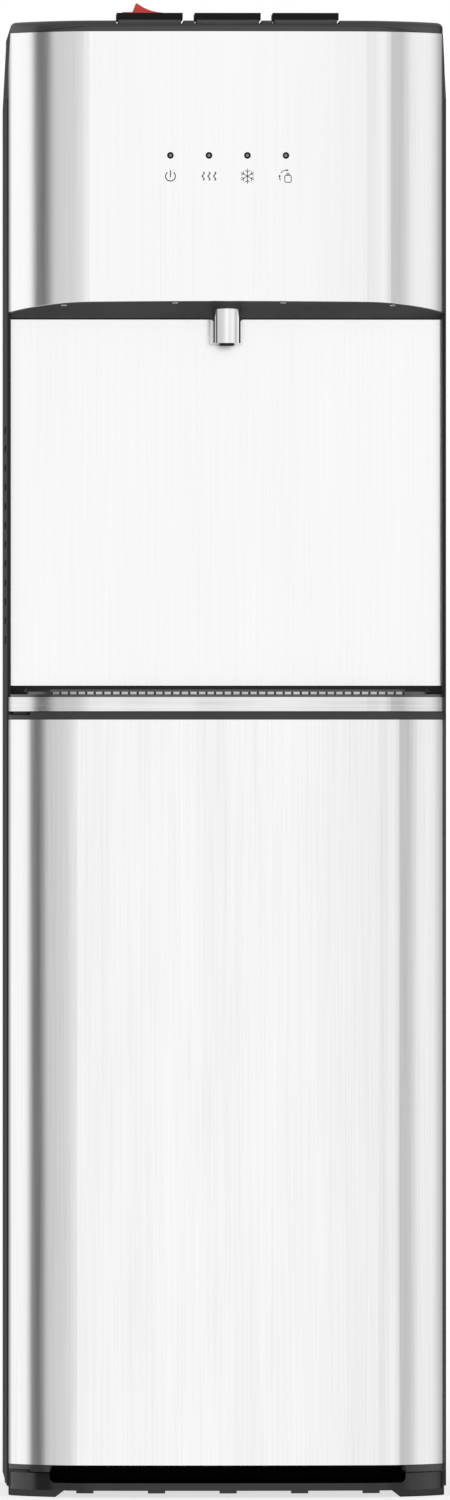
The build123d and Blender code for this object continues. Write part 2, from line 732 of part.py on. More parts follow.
def drip_grille():
    """Row of bars from front to back on cross bars that sit inside the tray."""
    bars = []
    for step in range(BAR_COUNT):
        middle = (step - (BAR_COUNT - 1) / 2) * BAR_PITCH
        edges = (middle - BAR_WIDTH / 2, middle + BAR_WIDTH / 2)
        bars.append(box(edges, (FRONT_Y, RECESS_Y), (Z_LIP, Z_GRILLE)))
    grille = tray_plan(TRAY_CLEAR, Z_LIP, Z_GRILLE) & Compound(bars)
    inside = 2 * TRAY_CLEAR + TRAY_WALL
    front = FRONT_Y + TRAY_FRONT + inside
    span = LINER_FRONT_Y - SHADOW - TRAY_REAR - inside - CROSS_BAR - front
    rails = []
    for step in range(CROSS_COUNT):
        start = front + span * step / (CROSS_COUNT - 1)
        rails.append(box((-TRAY_HALF, TRAY_HALF), (start, start + CROSS_BAR), (Z_LIP - CROSS_BAR, Z_LIP)))
    return grille + (tray_plan(inside, Z_LIP - CROSS_BAR, Z_LIP) & Compound(rails))


def alcove_liner():
    """Back and side walls of the cup alcove."""
    levels = (Z_TRIM_LOW + SEAT, Z_PANEL + LINER_TOP)
    half = INNER_HALF
    liner = box((-half, half), (LINER_FRONT_Y, LINER_REAR_Y), levels)
    side = box((ALCOVE_HALF + SHADOW, half), (SIDE_Y + HEM + SEAT, LINER_REAR_Y), levels)
    return liner + both_sides(side)


def recess_panel():
    """Steel sheet on the alcove's back wall."""
    half = ALCOVE_HALF - BOND
    return box((-half, half), (RECESS_Y, RECESS_Y + SKIN), (Z_PANEL_LOW, Z_PANEL))


def below_hood(offset):
    """Everything below the hood's tilted lower edge, raised by an offset."""
    front = FRONT_Y - WALL
    points = [(front, 0), (front, under(front) + offset), (0, under(0) + offset), (0, 0)]
    return side_prism(points, -BODY_HALF, BODY_HALF)


def lens_holes():
    """Bores for the four indicator lenses."""
    bores = None
    for x in LENS_XS:
        bore = rod((x, FRONT_Y - WALL, Z_LENS), (0, 1, 0), LENS_RADIUS, BOARD_STAND + WALL)
        bores = bore if bores is None else bores + bore
    return bores


def crown_lean():
    """Everything between the leaning planes of the top cover's skirts, for the front of the hood."""
    points = [
        (-BODY_HALF, Z_PANEL - HOOD_LIFT),
        (BODY_HALF, Z_PANEL - HOOD_LIFT),
        (BODY_HALF, Z_SKIRT),
        (COVER_HALF, Z_HOOD),
        (-COVER_HALF, Z_HOOD),
        (-BODY_HALF, Z_SKIRT),
    ]
    return front_prism(points, FRONT_Y - WALL, SIDE_Y)


def hood_skin():
    """Bowed steel front of the hood."""
    skin = band(0, SKIN, SIDE_Y - SEAT, Z_PANEL - HOOD_LIFT, Z_HOOD)
    return (skin & crown_lean()) - below_hood(0) - lens_holes()


def hood_carrier():
    """Moulded carrier behind the steel, with rear flanges, valve shelf and board bosses."""
    rear = SIDE_Y - SEAT
    carrier = band(CARRIER_OUT, CARRIER_IN, rear, Z_PANEL - HOOD_LIFT, Z_HOOD - SEAT)
    carrier = (carrier & crown_lean()) - below_hood(0)
    outer = FACE_HALF - CARRIER_OUT - WALL / 2
    flange = box((outer - CARRIER_FLANGE, outer), (rear - WALL, rear), (Z_HOOD_LOW + 2 * WALL, Z_HOOD - SEAT))
    carrier = carrier + both_sides(flange)
    shelf = bowed(CARRIER_IN - WALL / 2, SIDE_Y, Z_SHELF, Z_VALVE)
    shelf = shelf & box((-SHELF_HALF, SHELF_HALF), (FRONT_Y, FRONT_Y + SHELF_REAR), (Z_SHELF, Z_VALVE))
    carrier = carrier + shelf
    for x in (-BOSS_HALF, BOSS_HALF):
        start = front_at(x) + CARRIER_OUT + WALL / 2
        carrier = carrier + rod((x, start, Z_LENS), (0, 1, 0), BOSS_RADIUS, BOARD_Y - start)
    for x in PADDLE_XS:
        hole = rod((x, VALVE_Y, Z_SHELF - WALL), (0, 0, 1), NIPPLE_RADIUS + SHADOW, SHELF_THICK + 2 * WALL)
        carrier = carrier - hole
    return carrier - lens_holes()


def hood_underside():
    """Tilted plate that closes the hood from below."""
    inset = CARRIER_IN + SEAT
    plan = bowed(inset, SIDE_Y + WALL, Z_PANEL - HOOD_LIFT, Z_HOOD)
    rear = LINER_FRONT_Y - UNDER_REAR_GAP - WALL / 2
    plan = plan + box((-ALCOVE_HALF, ALCOVE_HALF), (SIDE_Y, rear), (Z_PANEL - HOOD_LIFT, Z_HOOD))
    plate = plan & (below_hood(WALL) - below_hood(0))
    hole = rod((0, SPOUT_Y, under(SPOUT_Y) - 2 * WALL), (0, 0, 1), NOZZLE_RADIUS + SHADOW, 5 * WALL)
    return plate - hole


def indicator_lenses():
    """Four clear pins from the board to the steel."""
    pins = []
    for x in LENS_XS:
        start = front_at(x) + LENS_RECESS
        pins.append(rod((x, start, Z_LENS), (0, 1, 0), LENS_RADIUS - RUN_FIT, BOARD_Y - start))
    return Compound(pins)


def control_board():
    """Indicator board on the carrier's bosses."""
    half = BOARD_HEIGHT / 2
    return box((-BOARD_HALF, BOARD_HALF), (BOARD_Y, BOARD_Y + BOARD_THICK), (Z_LENS - half, Z_LENS + half))


def spout():
    """Chromed shroud with a round front and a flat back."""
    low = Z_HOOD_LOW - SPOUT_LOW
    body = rod((0, SPOUT_Y, low), (0, 0, 1), SPOUT_RADIUS, SPOUT_LOW)
    body = body + box((-SPOUT_RADIUS, SPOUT_RADIUS), (SPOUT_Y, SPOUT_Y + SPOUT_BACK), (low, Z_HOOD_LOW))
    body = body - rod((0, SPOUT_Y, low - WALL), (0, 0, 1), SPOUT_BORE, SPOUT_LOW + 2 * WALL)
    return body & below_hood(-BOND)


def spout_nozzle():
    """Dark nozzle that runs through the shroud into the manifold."""
    low = Z_HOOD_LOW - SPOUT_LOW - NOZZLE_TIP
    top = under(SPOUT_Y) + WALL + BOND + NOZZLE_RISE
    nozzle = rod((0, SPOUT_Y, low), (0, 0, 1), NOZZLE_RADIUS, top - low)
    return nozzle - rod((0, SPOUT_Y, low - WALL), (0, 0, 1), NOZZLE_BORE, top - low + 2 * WALL)


def outlet_manifold():
    """Block on the tilted plate that joins the three outlets above the nozzle."""
    top = under(SPOUT_Y) + MANIFOLD_TOP
    y = (FRONT_Y + MANIFOLD_FRONT, FRONT_Y + MANIFOLD_REAR)
    block = box((-MANIFOLD_HALF, MANIFOLD_HALF), y, (Z_PANEL, top)) - below_hood(WALL)
    seat_top = under(SPOUT_Y) + WALL + BOND + NOZZLE_RISE + SEAT
    block = block - rod((0, SPOUT_Y, Z_PANEL), (0, 0, 1), NOZZLE_RADIUS + RUN_FIT, seat_top - Z_PANEL)
    for step in (-1, 0, 1):
        x = step * NIPPLE_PITCH
        block = block + rod((x, SPOUT_Y, top), (0, 0, 1), NIPPLE_RADIUS, NIPPLE_LENGTH)
        block = block - rod((x, SPOUT_Y, top - WALL), (0, 0, 1), NIPPLE_BORE, NIPPLE_LENGTH + 2 * WALL)
    return block


def tap_valves():
    """Three push valves on the shelf, each with a feed nipple behind and an outlet below."""
    valves = []
    for x in PADDLE_XS:
        top = Z_VALVE + VALVE_HEIGHT
        valve = rod((x, VALVE_Y, Z_VALVE), (0, 0, 1), VALVE_RADIUS, VALVE_HEIGHT)
        valve = valve + rod((x, VALVE_Y, top), (0, 0, 1), VALVE_NECK, VALVE_NECK_HEIGHT)
        valve = valve + rod((x, VALVE_Y, Z_FEED), (0, 1, 0), NIPPLE_RADIUS, VALVE_RADIUS + VALVE_NIPPLE)
        low = Z_SHELF - NIPPLE_LENGTH + 2 * SEAT
        valve = valve + rod((x, VALVE_Y, low), (0, 0, 1), NIPPLE_RADIUS, Z_VALVE - low)
        valves.append(valve - rod((x, VALVE_Y, top), (0, 0, 1), VALVE_BORE, VALVE_NECK_HEIGHT + WALL))
    return Compound(valves)


def top_cover():
    """Moulded top with leaning side skirts, raised rear deck, paddle openings and shaft lugs."""
    slab = bowed(0, BACK_Y, Z_HOOD, Z_COVER, COVER_HALF)
    slab = fillet(slab.faces().sort_by(Axis.Z)[-1].edges(), COVER_FILLET)
    lean = [
        (BODY_HALF, Z_SKIRT),
        (COVER_HALF, Z_HOOD),
        (COVER_HALF - SKIRT_WALL, Z_HOOD),
        (BODY_HALF - SKIRT_WALL, Z_SKIRT),
    ]
    cover = slab + both_sides(front_prism(lean, SIDE_Y, BACK_Y))
    wall = [(-BODY_HALF, Z_SKIRT), (BODY_HALF, Z_SKIRT), (COVER_HALF, Z_HOOD), (-COVER_HALF, Z_HOOD)]
    cover = cover + front_prism(wall, BACK_Y - COVER_REAR_WALL, BACK_Y)
    deck = box(
        (-REAR_DECK_HALF, REAR_DECK_HALF),
        (FRONT_Y + REAR_DECK_FRONT, BACK_Y - REAR_DECK_MARGIN),
        (Z_COVER - COVER_TOP_WALL, Z_COVER + DECK_RISE),
    )
    cover = cover + fillet(deck.edges().filter_by(Axis.Z), REAR_DECK_CORNER)
    hollow = bowed(COVER_WALL, BACK_Y - COVER_REAR_WALL, Z_HOOD - WALL, Z_NOTCH, COVER_HALF)
    cover = cover - hollow
    start = Z_COVER - GROOVE_DROP
    end = start - GROOVE_FALL * (SIDE_Y - FRONT_Y)
    groove = side_prism(
        [(FRONT_Y, start), (SIDE_Y, end), (SIDE_Y, end - GROOVE_WIDTH), (FRONT_Y, start - GROOVE_WIDTH)],
        -BODY_HALF,
        BODY_HALF,
    )
    shallow = bowed(0, SIDE_Y + WALL, Z_HOOD, Z_COVER, COVER_HALF)
    shallow = shallow - bowed(GROOVE_DEPTH, SIDE_Y + 2 * WALL, Z_HOOD, Z_COVER, COVER_HALF)
    cover = cover - (groove & shallow)
    half = PADDLE_WIDTH / 2 + PADDLE_CLEAR
    rear = PADDLE_REAR_Y + 5 * PADDLE_CLEAR
    for x in PADDLE_XS:
        cover = cover - box((x - half, x + half), (FRONT_Y - WALL, rear), (Z_NOTCH, Z_COVER + DECK_RISE))
    lugs = [step * PADDLE_PITCH for step in (-1.5, -0.5, 0.5, 1.5)]
    for x in lugs:
        lug = box(
            (x - LUG_WIDTH / 2, x + LUG_WIDTH / 2),
            (PIVOT_Y - LUG_DEPTH / 2, PIVOT_Y + LUG_DEPTH / 2),
            (Z_PIVOT - LUG_DROP, Z_COVER - COVER_TOP_WALL / 2),
        )
        cover = cover + lug
    reach = lugs[-1] + LUG_WIDTH
    return cover - rod((-reach, PIVOT_Y, Z_PIVOT), (1, 0, 0), SHAFT_RADIUS + RUN_FIT, 2 * reach)


def paddle(x):
    """Push paddle: a plate with a chin under its front edge, a hub on the shaft and a peg for the valve."""
    half = PADDLE_WIDTH / 2
    plate = box((x - half, x + half), (PADDLE_FRONT_Y, PADDLE_REAR_Y), (Z_PLATE, Z_PADDLE))
    half = half - CHIN_INSET
    profile = [
        (PADDLE_FRONT_Y - CHIN_REACH, Z_CHIN),
        (PADDLE_FRONT_Y - CHIN_REACH, Z_CHIN + CHIN_LIP),
        (PADDLE_FRONT_Y, Z_PLATE),
        (PADDLE_REAR_Y, Z_PLATE),
        (PIVOT_Y + HUB_RADIUS, Z_PIVOT),
        (PIVOT_Y - HUB_RADIUS, Z_PIVOT),
        (PIVOT_Y - HUB_RADIUS, Z_CHIN),
    ]
    body = plate + side_prism(profile, x - half, x + half)
    body = body + rod((x - half, PIVOT_Y, Z_PIVOT), (1, 0, 0), HUB_RADIUS, 2 * half)
    body = body - rod((x - half, PIVOT_Y, Z_PIVOT), (1, 0, 0), SHAFT_RADIUS + RUN_FIT, 2 * half)
    ceiling = Z_PADDLE - PADDLE_TOP_WALL
    pocket = box(
        (x - half + PADDLE_WALL, x + half - PADDLE_WALL),
        (PADDLE_FRONT_Y + PADDLE_WALL, PIVOT_Y - HUB_RADIUS - PADDLE_WALL),
        (Z_CHIN - WALL, ceiling),
    )
    body = body - pocket
    low = Z_VALVE + VALVE_HEIGHT + VALVE_NECK_HEIGHT - PEG_ENTRY
    return body + rod((x, VALVE_Y, low), (0, 0, 1), PEG_RADIUS, ceiling + PADDLE_TOP_WALL / 2 - low)


def lock_left():
    """Left end of the child lock at rest."""
    return PADDLE_XS[0] - PADDLE_WIDTH / 2 + LOCK_EDGE


def hot_paddle():
    """Hot paddle, slotted for the child lock."""
    left = lock_left() + LOCK_STEM_START
    y = FRONT_Y + LOCK_SETBACK
    half = LOCK_STEM_DEPTH / 2 + SEAT
    slot = box(
        (left - SEAT, left + LOCK_STEM + LOCK_TRAVEL + SEAT),
        (y - half, y + half),
        (Z_PADDLE - PADDLE_TOP_WALL - SEAT, Z_PADDLE + WALL),
    )
    return paddle(PADDLE_XS[0]) - slot


def child_lock():
    """Red slide with a steep thumb face, a hollow slope behind it and a barbed stem in the slot."""
    low = Z_PADDLE + SEAT
    left = lock_left()
    crest = left + LOCK_FLANGE + LOCK_RAMP
    right = crest + LOCK_CREST + LOCK_TAIL
    top = Z_PADDLE + LOCK_HEIGHT
    tail = low + LOCK_TAIL_HEIGHT
    front = FRONT_Y + LOCK_SETBACK - LOCK_DEPTH / 2
    outline = Polyline(
        (right, tail),
        (right, low),
        (left, low),
        (left, Z_PADDLE + LOCK_FLANGE_HEIGHT),
        (left + LOCK_FLANGE, Z_PADDLE + LOCK_FLANGE_HEIGHT),
        (crest, top),
        (crest + LOCK_CREST, top),
    )
    middle = (crest + LOCK_CREST + LOCK_TAIL * 0.4, tail + (top - tail) * 0.36)
    slope = ThreePointArc((crest + LOCK_CREST, top), middle, (right, tail))
    face = make_face(list(outline.edges()) + [slope])
    lock = extrude(Plane.XZ.offset(-front) * face, LOCK_DEPTH, dir=(0, 1, 0))
    y = FRONT_Y + LOCK_SETBACK
    stem = (left + LOCK_STEM_START, left + LOCK_STEM_START + LOCK_STEM)
    barb = Z_PADDLE - PADDLE_TOP_WALL - SEAT
    half = LOCK_STEM_DEPTH / 2
    lock = lock + box(stem, (y - half, y + half), (barb - LOCK_BARB, low))
    half = LOCK_BARB_DEPTH / 2
    return lock + box(stem, (y - half, y + half), (barb - LOCK_BARB, barb))


def paddle_shaft():
    """Steel shaft through the four lugs."""
    reach = 1.5 * PADDLE_PITCH + LUG_WIDTH / 2 + SHEET
    return rod((-reach, PIVOT_Y, Z_PIVOT), (1, 0, 0), SHAFT_RADIUS, 2 * reach)


def outlet_hoses():
    """Hoses from the valves down to the manifold."""
    hoses = []
    top = Z_SHELF - 2 * SEAT
    low = under(SPOUT_Y) + MANIFOLD_TOP + 2 * SEAT
    for step, x in zip((-1, 0, 1), PADDLE_XS):
        bend = (top - low) * 0.3
        route = [
            (x, VALVE_Y, top),
            (x, VALVE_Y, top - bend),
            (step * NIPPLE_PITCH, SPOUT_Y, low + bend),
            (step * NIPPLE_PITCH, SPOUT_Y, low),
        ]
        hoses.append(tube(route, HOSE_RADIUS, HOSE_BEND, HOSE_BORE))
    return Compound(hoses)


def feed_hoses():
    """Hoses from the cold tank, the hot tank and the pump."""
    start = VALVE_Y + VALVE_RADIUS + 2 * SEAT
    hoses = []
    for x in PADDLE_XS[1:]:
        route = [(x, start, Z_FEED), (x, FOAM_FRONT_Y - SEAT, Z_FEED)]
        hoses.append(tube(route, HOSE_RADIUS, HOSE_BEND, HOSE_BORE))
    x = PADDLE_XS[0]
    low = Z_HOT + HOT_TANK_HEIGHT + 2 * SEAT
    route = [(x, start, Z_FEED), (x, HOT_LINE_Y, Z_FEED), (x, HOT_LINE_Y, low)]
    hoses.append(tube(route, HOSE_RADIUS, HOSE_BEND, HOSE_BORE))
    low = Z_MACHINE + PUMP_HEIGHT + 2 * SEAT
    route = [(RISER_X, PUMP_MID_Y, low), (RISER_X, PUMP_MID_Y, Z_BRACKET - SEAT)]
    hoses.append(tube(route, HOSE_RADIUS, HOSE_BEND, HOSE_BORE))
    return Compound(hoses)


def cold_tank():
    """Steel tank that holds the cold water."""
    wall = COLD_TANK_WALL
    height = Z_FOAM - Z_COLD
    tank = rod((0, COLD_Y, Z_COLD), (0, 0, 1), COLD_TANK_RADIUS, height)
    return tank - rod((0, COLD_Y, Z_COLD + wall), (0, 0, 1), COLD_TANK_RADIUS - wall, height - 2 * wall)


def evaporator_jacket():
    """Cooling jacket round the cold tank."""
    inner = COLD_TANK_RADIUS + SHADOW
    low = Z_COLD + JACKET_LIFT
    jacket = rod((0, COLD_Y, low), (0, 0, 1), inner + JACKET_WALL, JACKET_HEIGHT)
    return jacket - rod((0, COLD_Y, low - WALL), (0, 0, 1), inner, JACKET_HEIGHT + 2 * WALL)


def foam_jacket():
    """Insulation round the cold tank."""
    block = box((-FOAM_HALF, FOAM_HALF), (FOAM_FRONT_Y, FOAM_REAR_Y), (Z_BRACKET, Z_FOAM))
    radius = COLD_TANK_RADIUS + SHADOW + JACKET_WALL + SHADOW
    return block - rod((0, COLD_Y, Z_COLD), (0, 0, 1), radius, Z_FOAM - Z_COLD + WALL)


def foam_lid():
    """Insulating lid on the jacket."""
    return box((-FOAM_HALF, FOAM_HALF), (FOAM_FRONT_Y, FOAM_REAR_Y), (Z_FOAM, Z_FOAM + FOAM_LID))


def hot_tank():
    """Hollow round hot tank on three legs with a nipple on top."""
    wall = HOT_TANK_WALL
    tank = rod((HOT_TANK_X, HOT_TANK_Y, Z_HOT), (0, 0, 1), HOT_TANK_RADIUS, HOT_TANK_HEIGHT)
    tank = fillet(tank.edges(), HOT_TANK_FILLET)
    inside = (HOT_TANK_X, HOT_TANK_Y, Z_HOT + wall)
    room = rod(inside, (0, 0, 1), HOT_TANK_RADIUS - wall, HOT_TANK_HEIGHT - 2 * wall)
    tank = tank - fillet(room.edges(), HOT_TANK_FILLET - wall)
    for step in range(3):
        turn = math.radians(90 + 120 * step)
        x = HOT_TANK_X + HOT_LEG_CIRCLE * math.cos(turn)
        y = HOT_TANK_Y + HOT_LEG_CIRCLE * math.sin(turn)
        tank = tank + rod((x, y, Z_MACHINE), (0, 0, 1), HOT_LEG_RADIUS, HOT_LEG)
    top = Z_HOT + HOT_TANK_HEIGHT
    return tank + rod((PADDLE_XS[0], HOT_LINE_Y, top), (0, 0, 1), NIPPLE_RADIUS, NIPPLE_LENGTH)


def drain_pipe():
    """Pipe from the hot tank out through the rear panel."""
    start = HOT_TANK_Y + HOT_TANK_RADIUS + SEAT
    length = BACK_Y + DRAIN_STICK_OUT - start
    pipe = rod((HOT_TANK_X, start, Z_DRAIN), (0, 1, 0), DRAIN_RADIUS, length)
    return pipe - rod((HOT_TANK_X, start, Z_DRAIN), (0, 1, 0), DRAIN_BORE, length)


def drain_cap():
    """Cap on the end of the drain pipe."""
    start = BACK_Y + 2 * SEAT
    cap = rod((HOT_TANK_X, start, Z_DRAIN), (0, 1, 0), DRAIN_CAP_RADIUS, DRAIN_CAP_LENGTH)
    bore = DRAIN_STICK_OUT - SEAT
    return cap - rod((HOT_TANK_X, start, Z_DRAIN), (0, 1, 0), DRAIN_RADIUS + RUN_FIT, bore)


def compressor():
    """Domed compressor shell with its seam, base plate and line stubs."""
    radius = COMPRESSOR_RADIUS
    dome = COMPRESSOR_DOME
    low = Z_SHELL
    high = low + COMPRESSOR_HEIGHT
    seam = (low + high) / 2
    start = Polyline((0, high), (0, low), (radius - dome, low))
    lip = COMPRESSOR_SEAM
    lower = JernArc((radius - dome, low), (1, 0), dome - lip, 90)
    upper = JernArc((radius - lip, high - dome + lip), (0, 1), dome - lip, 90)
    wall = Polyline(
        lower @ 1,
        (radius - lip, seam - lip),
        (radius, seam - lip),
        (radius, seam + lip),
        (radius - lip, seam + lip),
        upper @ 0,
    )
    lid = Line(upper @ 1, (0, high))
    edges = list(start.edges()) + [lower] + list(wall.edges()) + [upper, lid]
    shell = revolve(Plane.XZ * make_face(edges), Axis.Z)
    shell = Pos(COMPRESSOR_X, COMPRESSOR_Y, 0) * shell
    plate = box(
        (COMPRESSOR_X - COMPRESSOR_PLATE_HALF, COMPRESSOR_X + COMPRESSOR_PLATE_HALF),
        (COMPRESSOR_Y - COMPRESSOR_PLATE_DEPTH, COMPRESSOR_Y + COMPRESSOR_PLATE_DEPTH),
        (Z_SHELL - COMPRESSOR_PLATE, Z_SHELL),
    )
    shell = shell + plate
    stub = SUCTION_TOP - DISCHARGE_LIFT
    shell = shell + rod((SUCTION_STUB_X, SUCTION_Y, Z_SUCTION - stub), (0, 0, 1), LINE_RADIUS, stub)
    reach = COMPRESSOR_RADIUS + COMPRESSOR_GAP / 4
    return shell + rod((COMPRESSOR_X, COMPRESSOR_Y, Z_DISCHARGE), (0, 1, 0), LINE_RADIUS, reach)


def compressor_mounts():
    """Four waisted rubber feet under the base plate."""
    feet = []
    dx = COMPRESSOR_PLATE_HALF - MOUNT_INSET
    dy = COMPRESSOR_PLATE_DEPTH - MOUNT_INSET
    waist = MOUNT_HEIGHT / 3
    for sx, sy in ((-1, -1), (-1, 1), (1, -1), (1, 1)):
        spot = (COMPRESSOR_X + sx * dx, COMPRESSOR_Y + sy * dy)
        foot = rod((*spot, Z_MACHINE), (0, 0, 1), MOUNT_RADIUS, waist)
        foot = foot + rod((*spot, Z_MACHINE + waist), (0, 0, 1), MOUNT_WAIST, waist)
        feet.append(foot + rod((*spot, Z_MACHINE + 2 * waist), (0, 0, 1), MOUNT_RADIUS, waist))
    return Compound(feet)


def filter_drier():
    """Copper drier between the condenser and the capillary."""
    drier = rod((LINE_X, DRIER_FRONT_Y, Z_DRIER), (0, 1, 0), DRIER_RADIUS, DRIER_LENGTH)
    return chamfer(drier.edges().filter_by(GeomType.CIRCLE), DRIER_RADIUS / 2)


def refrigerant_lines():
    """Discharge, liquid, suction and capillary lines."""
    discharge = [
        (COMPRESSOR_X, COMPRESSOR_Y + COMPRESSOR_RADIUS + COMPRESSOR_GAP / 4 + SEAT, Z_DISCHARGE),
        (COMPRESSOR_X, COIL_Y, Z_DISCHARGE),
        (COMPRESSOR_X + COIL_START, COIL_Y, Z_DISCHARGE),
    ]
    liquid = [
        (LINE_X, COIL_Y, Z_RISER + SEAT),
        (LINE_X, COIL_Y, Z_DRIER),
        (LINE_X, DRIER_REAR_Y + SEAT, Z_DRIER),
    ]
    entry = Z_BRACKET + LINE_ENTRY
    over = (Z_SUCTION + Z_BRACKET) / 2
    suction = [
        (SUCTION_STUB_X, SUCTION_Y, Z_SUCTION + SEAT),
        (SUCTION_STUB_X, SUCTION_Y, over),
        (SUCTION_X, SUCTION_Y, over),
        (SUCTION_X, SUCTION_Y, entry),
        (FOAM_HALF + SEAT, SUCTION_Y, entry),
    ]
    entry = Z_BRACKET + CAPILLARY_ENTRY
    capillary = [
        (LINE_X, DRIER_FRONT_Y - SEAT, Z_DRIER),
        (LINE_X, CAPILLARY_Y, Z_DRIER),
        (LINE_X, CAPILLARY_Y, entry),
        (FOAM_HALF + SEAT, CAPILLARY_Y, entry),
    ]
    return Compound([
        tube(discharge, LINE_RADIUS, LINE_BEND),
        tube(liquid, LINE_RADIUS, LINE_BEND),
        tube(suction, LINE_RADIUS, LINE_BEND),
        tube(capillary, CAPILLARY_RADIUS, LINE_BEND),
    ])


def condenser_coil():
    """One tube in level passes behind the rear panel, with a riser back to the drier."""
    route = [
        (COMPRESSOR_X + COIL_START + SEAT, COIL_Y, Z_DISCHARGE),
        (COIL_HALF, COIL_Y, Z_DISCHARGE),
    ]
    side = COIL_HALF
    for step in range(COIL_COUNT):
        level = Z_COIL - step * COIL_PITCH
        route.append((side, COIL_Y, level))
        side = -side
        route.append((side, COIL_Y, level))
    last = route.pop()
    route.append((LINE_X, COIL_Y, last[2]))
    route.append((LINE_X, COIL_Y, Z_RISER))
    return tube(route, COIL_RADIUS, COIL_BEND)


def condenser_wires():
    """Upright wires on both faces of the coil."""
    wires = []
    top = Z_COIL + WIRE_END
    low = Z_COIL - (COIL_COUNT - 1) * COIL_PITCH - WIRE_END
    for step in range(WIRE_COUNT):
        x = (step - (WIRE_COUNT - 1) / 2) * WIRE_PITCH
        for start in (COIL_Y - COIL_RADIUS - BOND - WIRE, COIL_Y + COIL_RADIUS + BOND):
            wires.append(box((x - WIRE / 2, x + WIRE / 2), (start, start + WIRE), (low, top)))
    return Compound(wires)


def wall_spacers():
    """Four blocks that carry the coil and hold the cooler off the wall."""
    blocks = []
    for number in (COIL_COUNT // SPACER_COUNT, COIL_COUNT - 1 - COIL_COUNT // SPACER_COUNT):
        level = Z_COIL - number * COIL_PITCH
        for x in (-SPACER_X, SPACER_X):
            half = SPACER_WIDTH / 2
            tall = SPACER_HEIGHT / 2
            block = box((x - half, x + half), (BACK_Y, REAR_Y), (level - tall, level + tall))
            hole = rod((x - half, COIL_Y, level), (1, 0, 0), COIL_RADIUS + BOND, SPACER_WIDTH)
            blocks.append(block - hole)
    return Compound(blocks)


def water_pump():
    """Pump head with its motor on a saddle, a riser nipple and an intake through the deck."""
    top = Z_MACHINE + PUMP_HEIGHT
    front = PUMP_REAR_Y - PUMP_DEPTH
    pump = box((PUMP_X - PUMP_HALF, PUMP_X + PUMP_HALF), (front, PUMP_REAR_Y), (Z_MACHINE, top))
    pump = fillet(pump.edges().filter_by(Axis.Y), PUMP_HALF / 5)
    axis = Z_MACHINE + PUMP_HEIGHT / 2
    pump = pump + rod((PUMP_X, front, axis), (0, -1, 0), MOTOR_RADIUS, MOTOR_LENGTH)
    saddle = (front - MOTOR_LENGTH + WALL, front - MOTOR_LENGTH + WALL + SADDLE_LENGTH)
    half = SADDLE_WIDTH / 2
    pump = pump + box((PUMP_X - half, PUMP_X + half), saddle, (Z_MACHINE, axis))
    pump = pump + rod((RISER_X, PUMP_MID_Y, top), (0, 0, 1), NIPPLE_RADIUS, NIPPLE_LENGTH)
    drop = SHEET + 2 * NIPPLE_LENGTH
    return pump + rod((INTAKE_X, PUMP_MID_Y, Z_MACHINE - drop), (0, 0, 1), NIPPLE_RADIUS, drop)


def probe():
    """Bottle probe: collar, stem and slotted foot."""
    spot = (INTAKE_X, PUMP_MID_Y)
    collar = rod((*spot, Z_PROBE - PROBE_COLLAR_HEIGHT), (0, 0, 1), PROBE_COLLAR, PROBE_COLLAR_HEIGHT)
    collar = fillet(collar.edges(), SHEET)
    stem = rod((*spot, Z_PROBE - PROBE_STEM_LENGTH), (0, 0, 1), PROBE_STEM, PROBE_STEM_LENGTH)
    foot_low = Z_PROBE - PROBE_STEM_LENGTH
    foot = rod((*spot, foot_low), (0, 0, 1), PROBE_FOOT, PROBE_FOOT_LENGTH)
    piece = collar + stem + foot + rod((*spot, Z_PROBE), (0, 0, 1), NIPPLE_RADIUS, NIPPLE_LENGTH)
    slot = (foot_low - WALL, foot_low + PROBE_FOOT_LENGTH / 2)
    piece = piece - box(
        (INTAKE_X - 2 * PROBE_FOOT, INTAKE_X + 2 * PROBE_FOOT),
        (PUMP_MID_Y - SHEET, PUMP_MID_Y + SHEET),
        slot,
    )
    return piece


def probe_hose():
    """Hose from the pump's intake to the probe."""
    start = Z_MACHINE - SHEET - SEAT
    route = [(INTAKE_X, PUMP_MID_Y, start), (INTAKE_X, PUMP_MID_Y, Z_PROBE + SEAT)]
    return tube(route, HOSE_RADIUS, HOSE_BEND, HOSE_BORE)


def switch_half_width():
    """Half width of the switch housing behind its flange."""
    return SWITCH_PITCH + ROCKER_WIDTH / 2 + ROCKER_SIDE_GAP + SWITCH_WALL


def switch_half_height():
    """Half height of the switch housing behind its flange."""
    return ROCKER_HALF + ROCKER_END_GAP + SWITCH_WALL


def switch_housing():
    """Housing for three rockers, set through the rear panel."""
    half_width = switch_half_width()
    half_height = switch_half_height()
    x = (SWITCH_X - half_width, SWITCH_X + half_width)
    z = (Z_SWITCH - half_height, Z_SWITCH + half_height)
    housing = box(x, (BACK_Y - SWITCH_BODY_DEPTH, BACK_Y), z)
    rim = box(
        (x[0] - SWITCH_RIM, x[1] + SWITCH_RIM),
        (BACK_Y, BACK_Y + SWITCH_FLANGE),
        (z[0] - SWITCH_RIM, z[1] + SWITCH_RIM),
    )
    housing = housing + fillet(rim.edges().filter_by(Axis.Y), SWITCH_RIM)
    tall = ROCKER_HALF + ROCKER_END_GAP
    wide = ROCKER_WIDTH / 2 + ROCKER_SIDE_GAP
    floor = BACK_Y - SWITCH_BODY_DEPTH + SHEET
    pin = ROCKER_WIDTH / 2 + ROCKER_PIN_LENGTH + SEAT
    for middle in SWITCH_XS:
        x = (middle - wide, middle + wide)
        housing = housing - box(x, (floor, FAR), (Z_SWITCH - tall, Z_SWITCH + tall))
        spot = (middle - pin, PIVOT_ROCKER_Y, Z_SWITCH)
        housing = housing - rod(spot, (1, 0, 0), ROCKER_PIN + RUN_FIT, 2 * pin)
    return housing


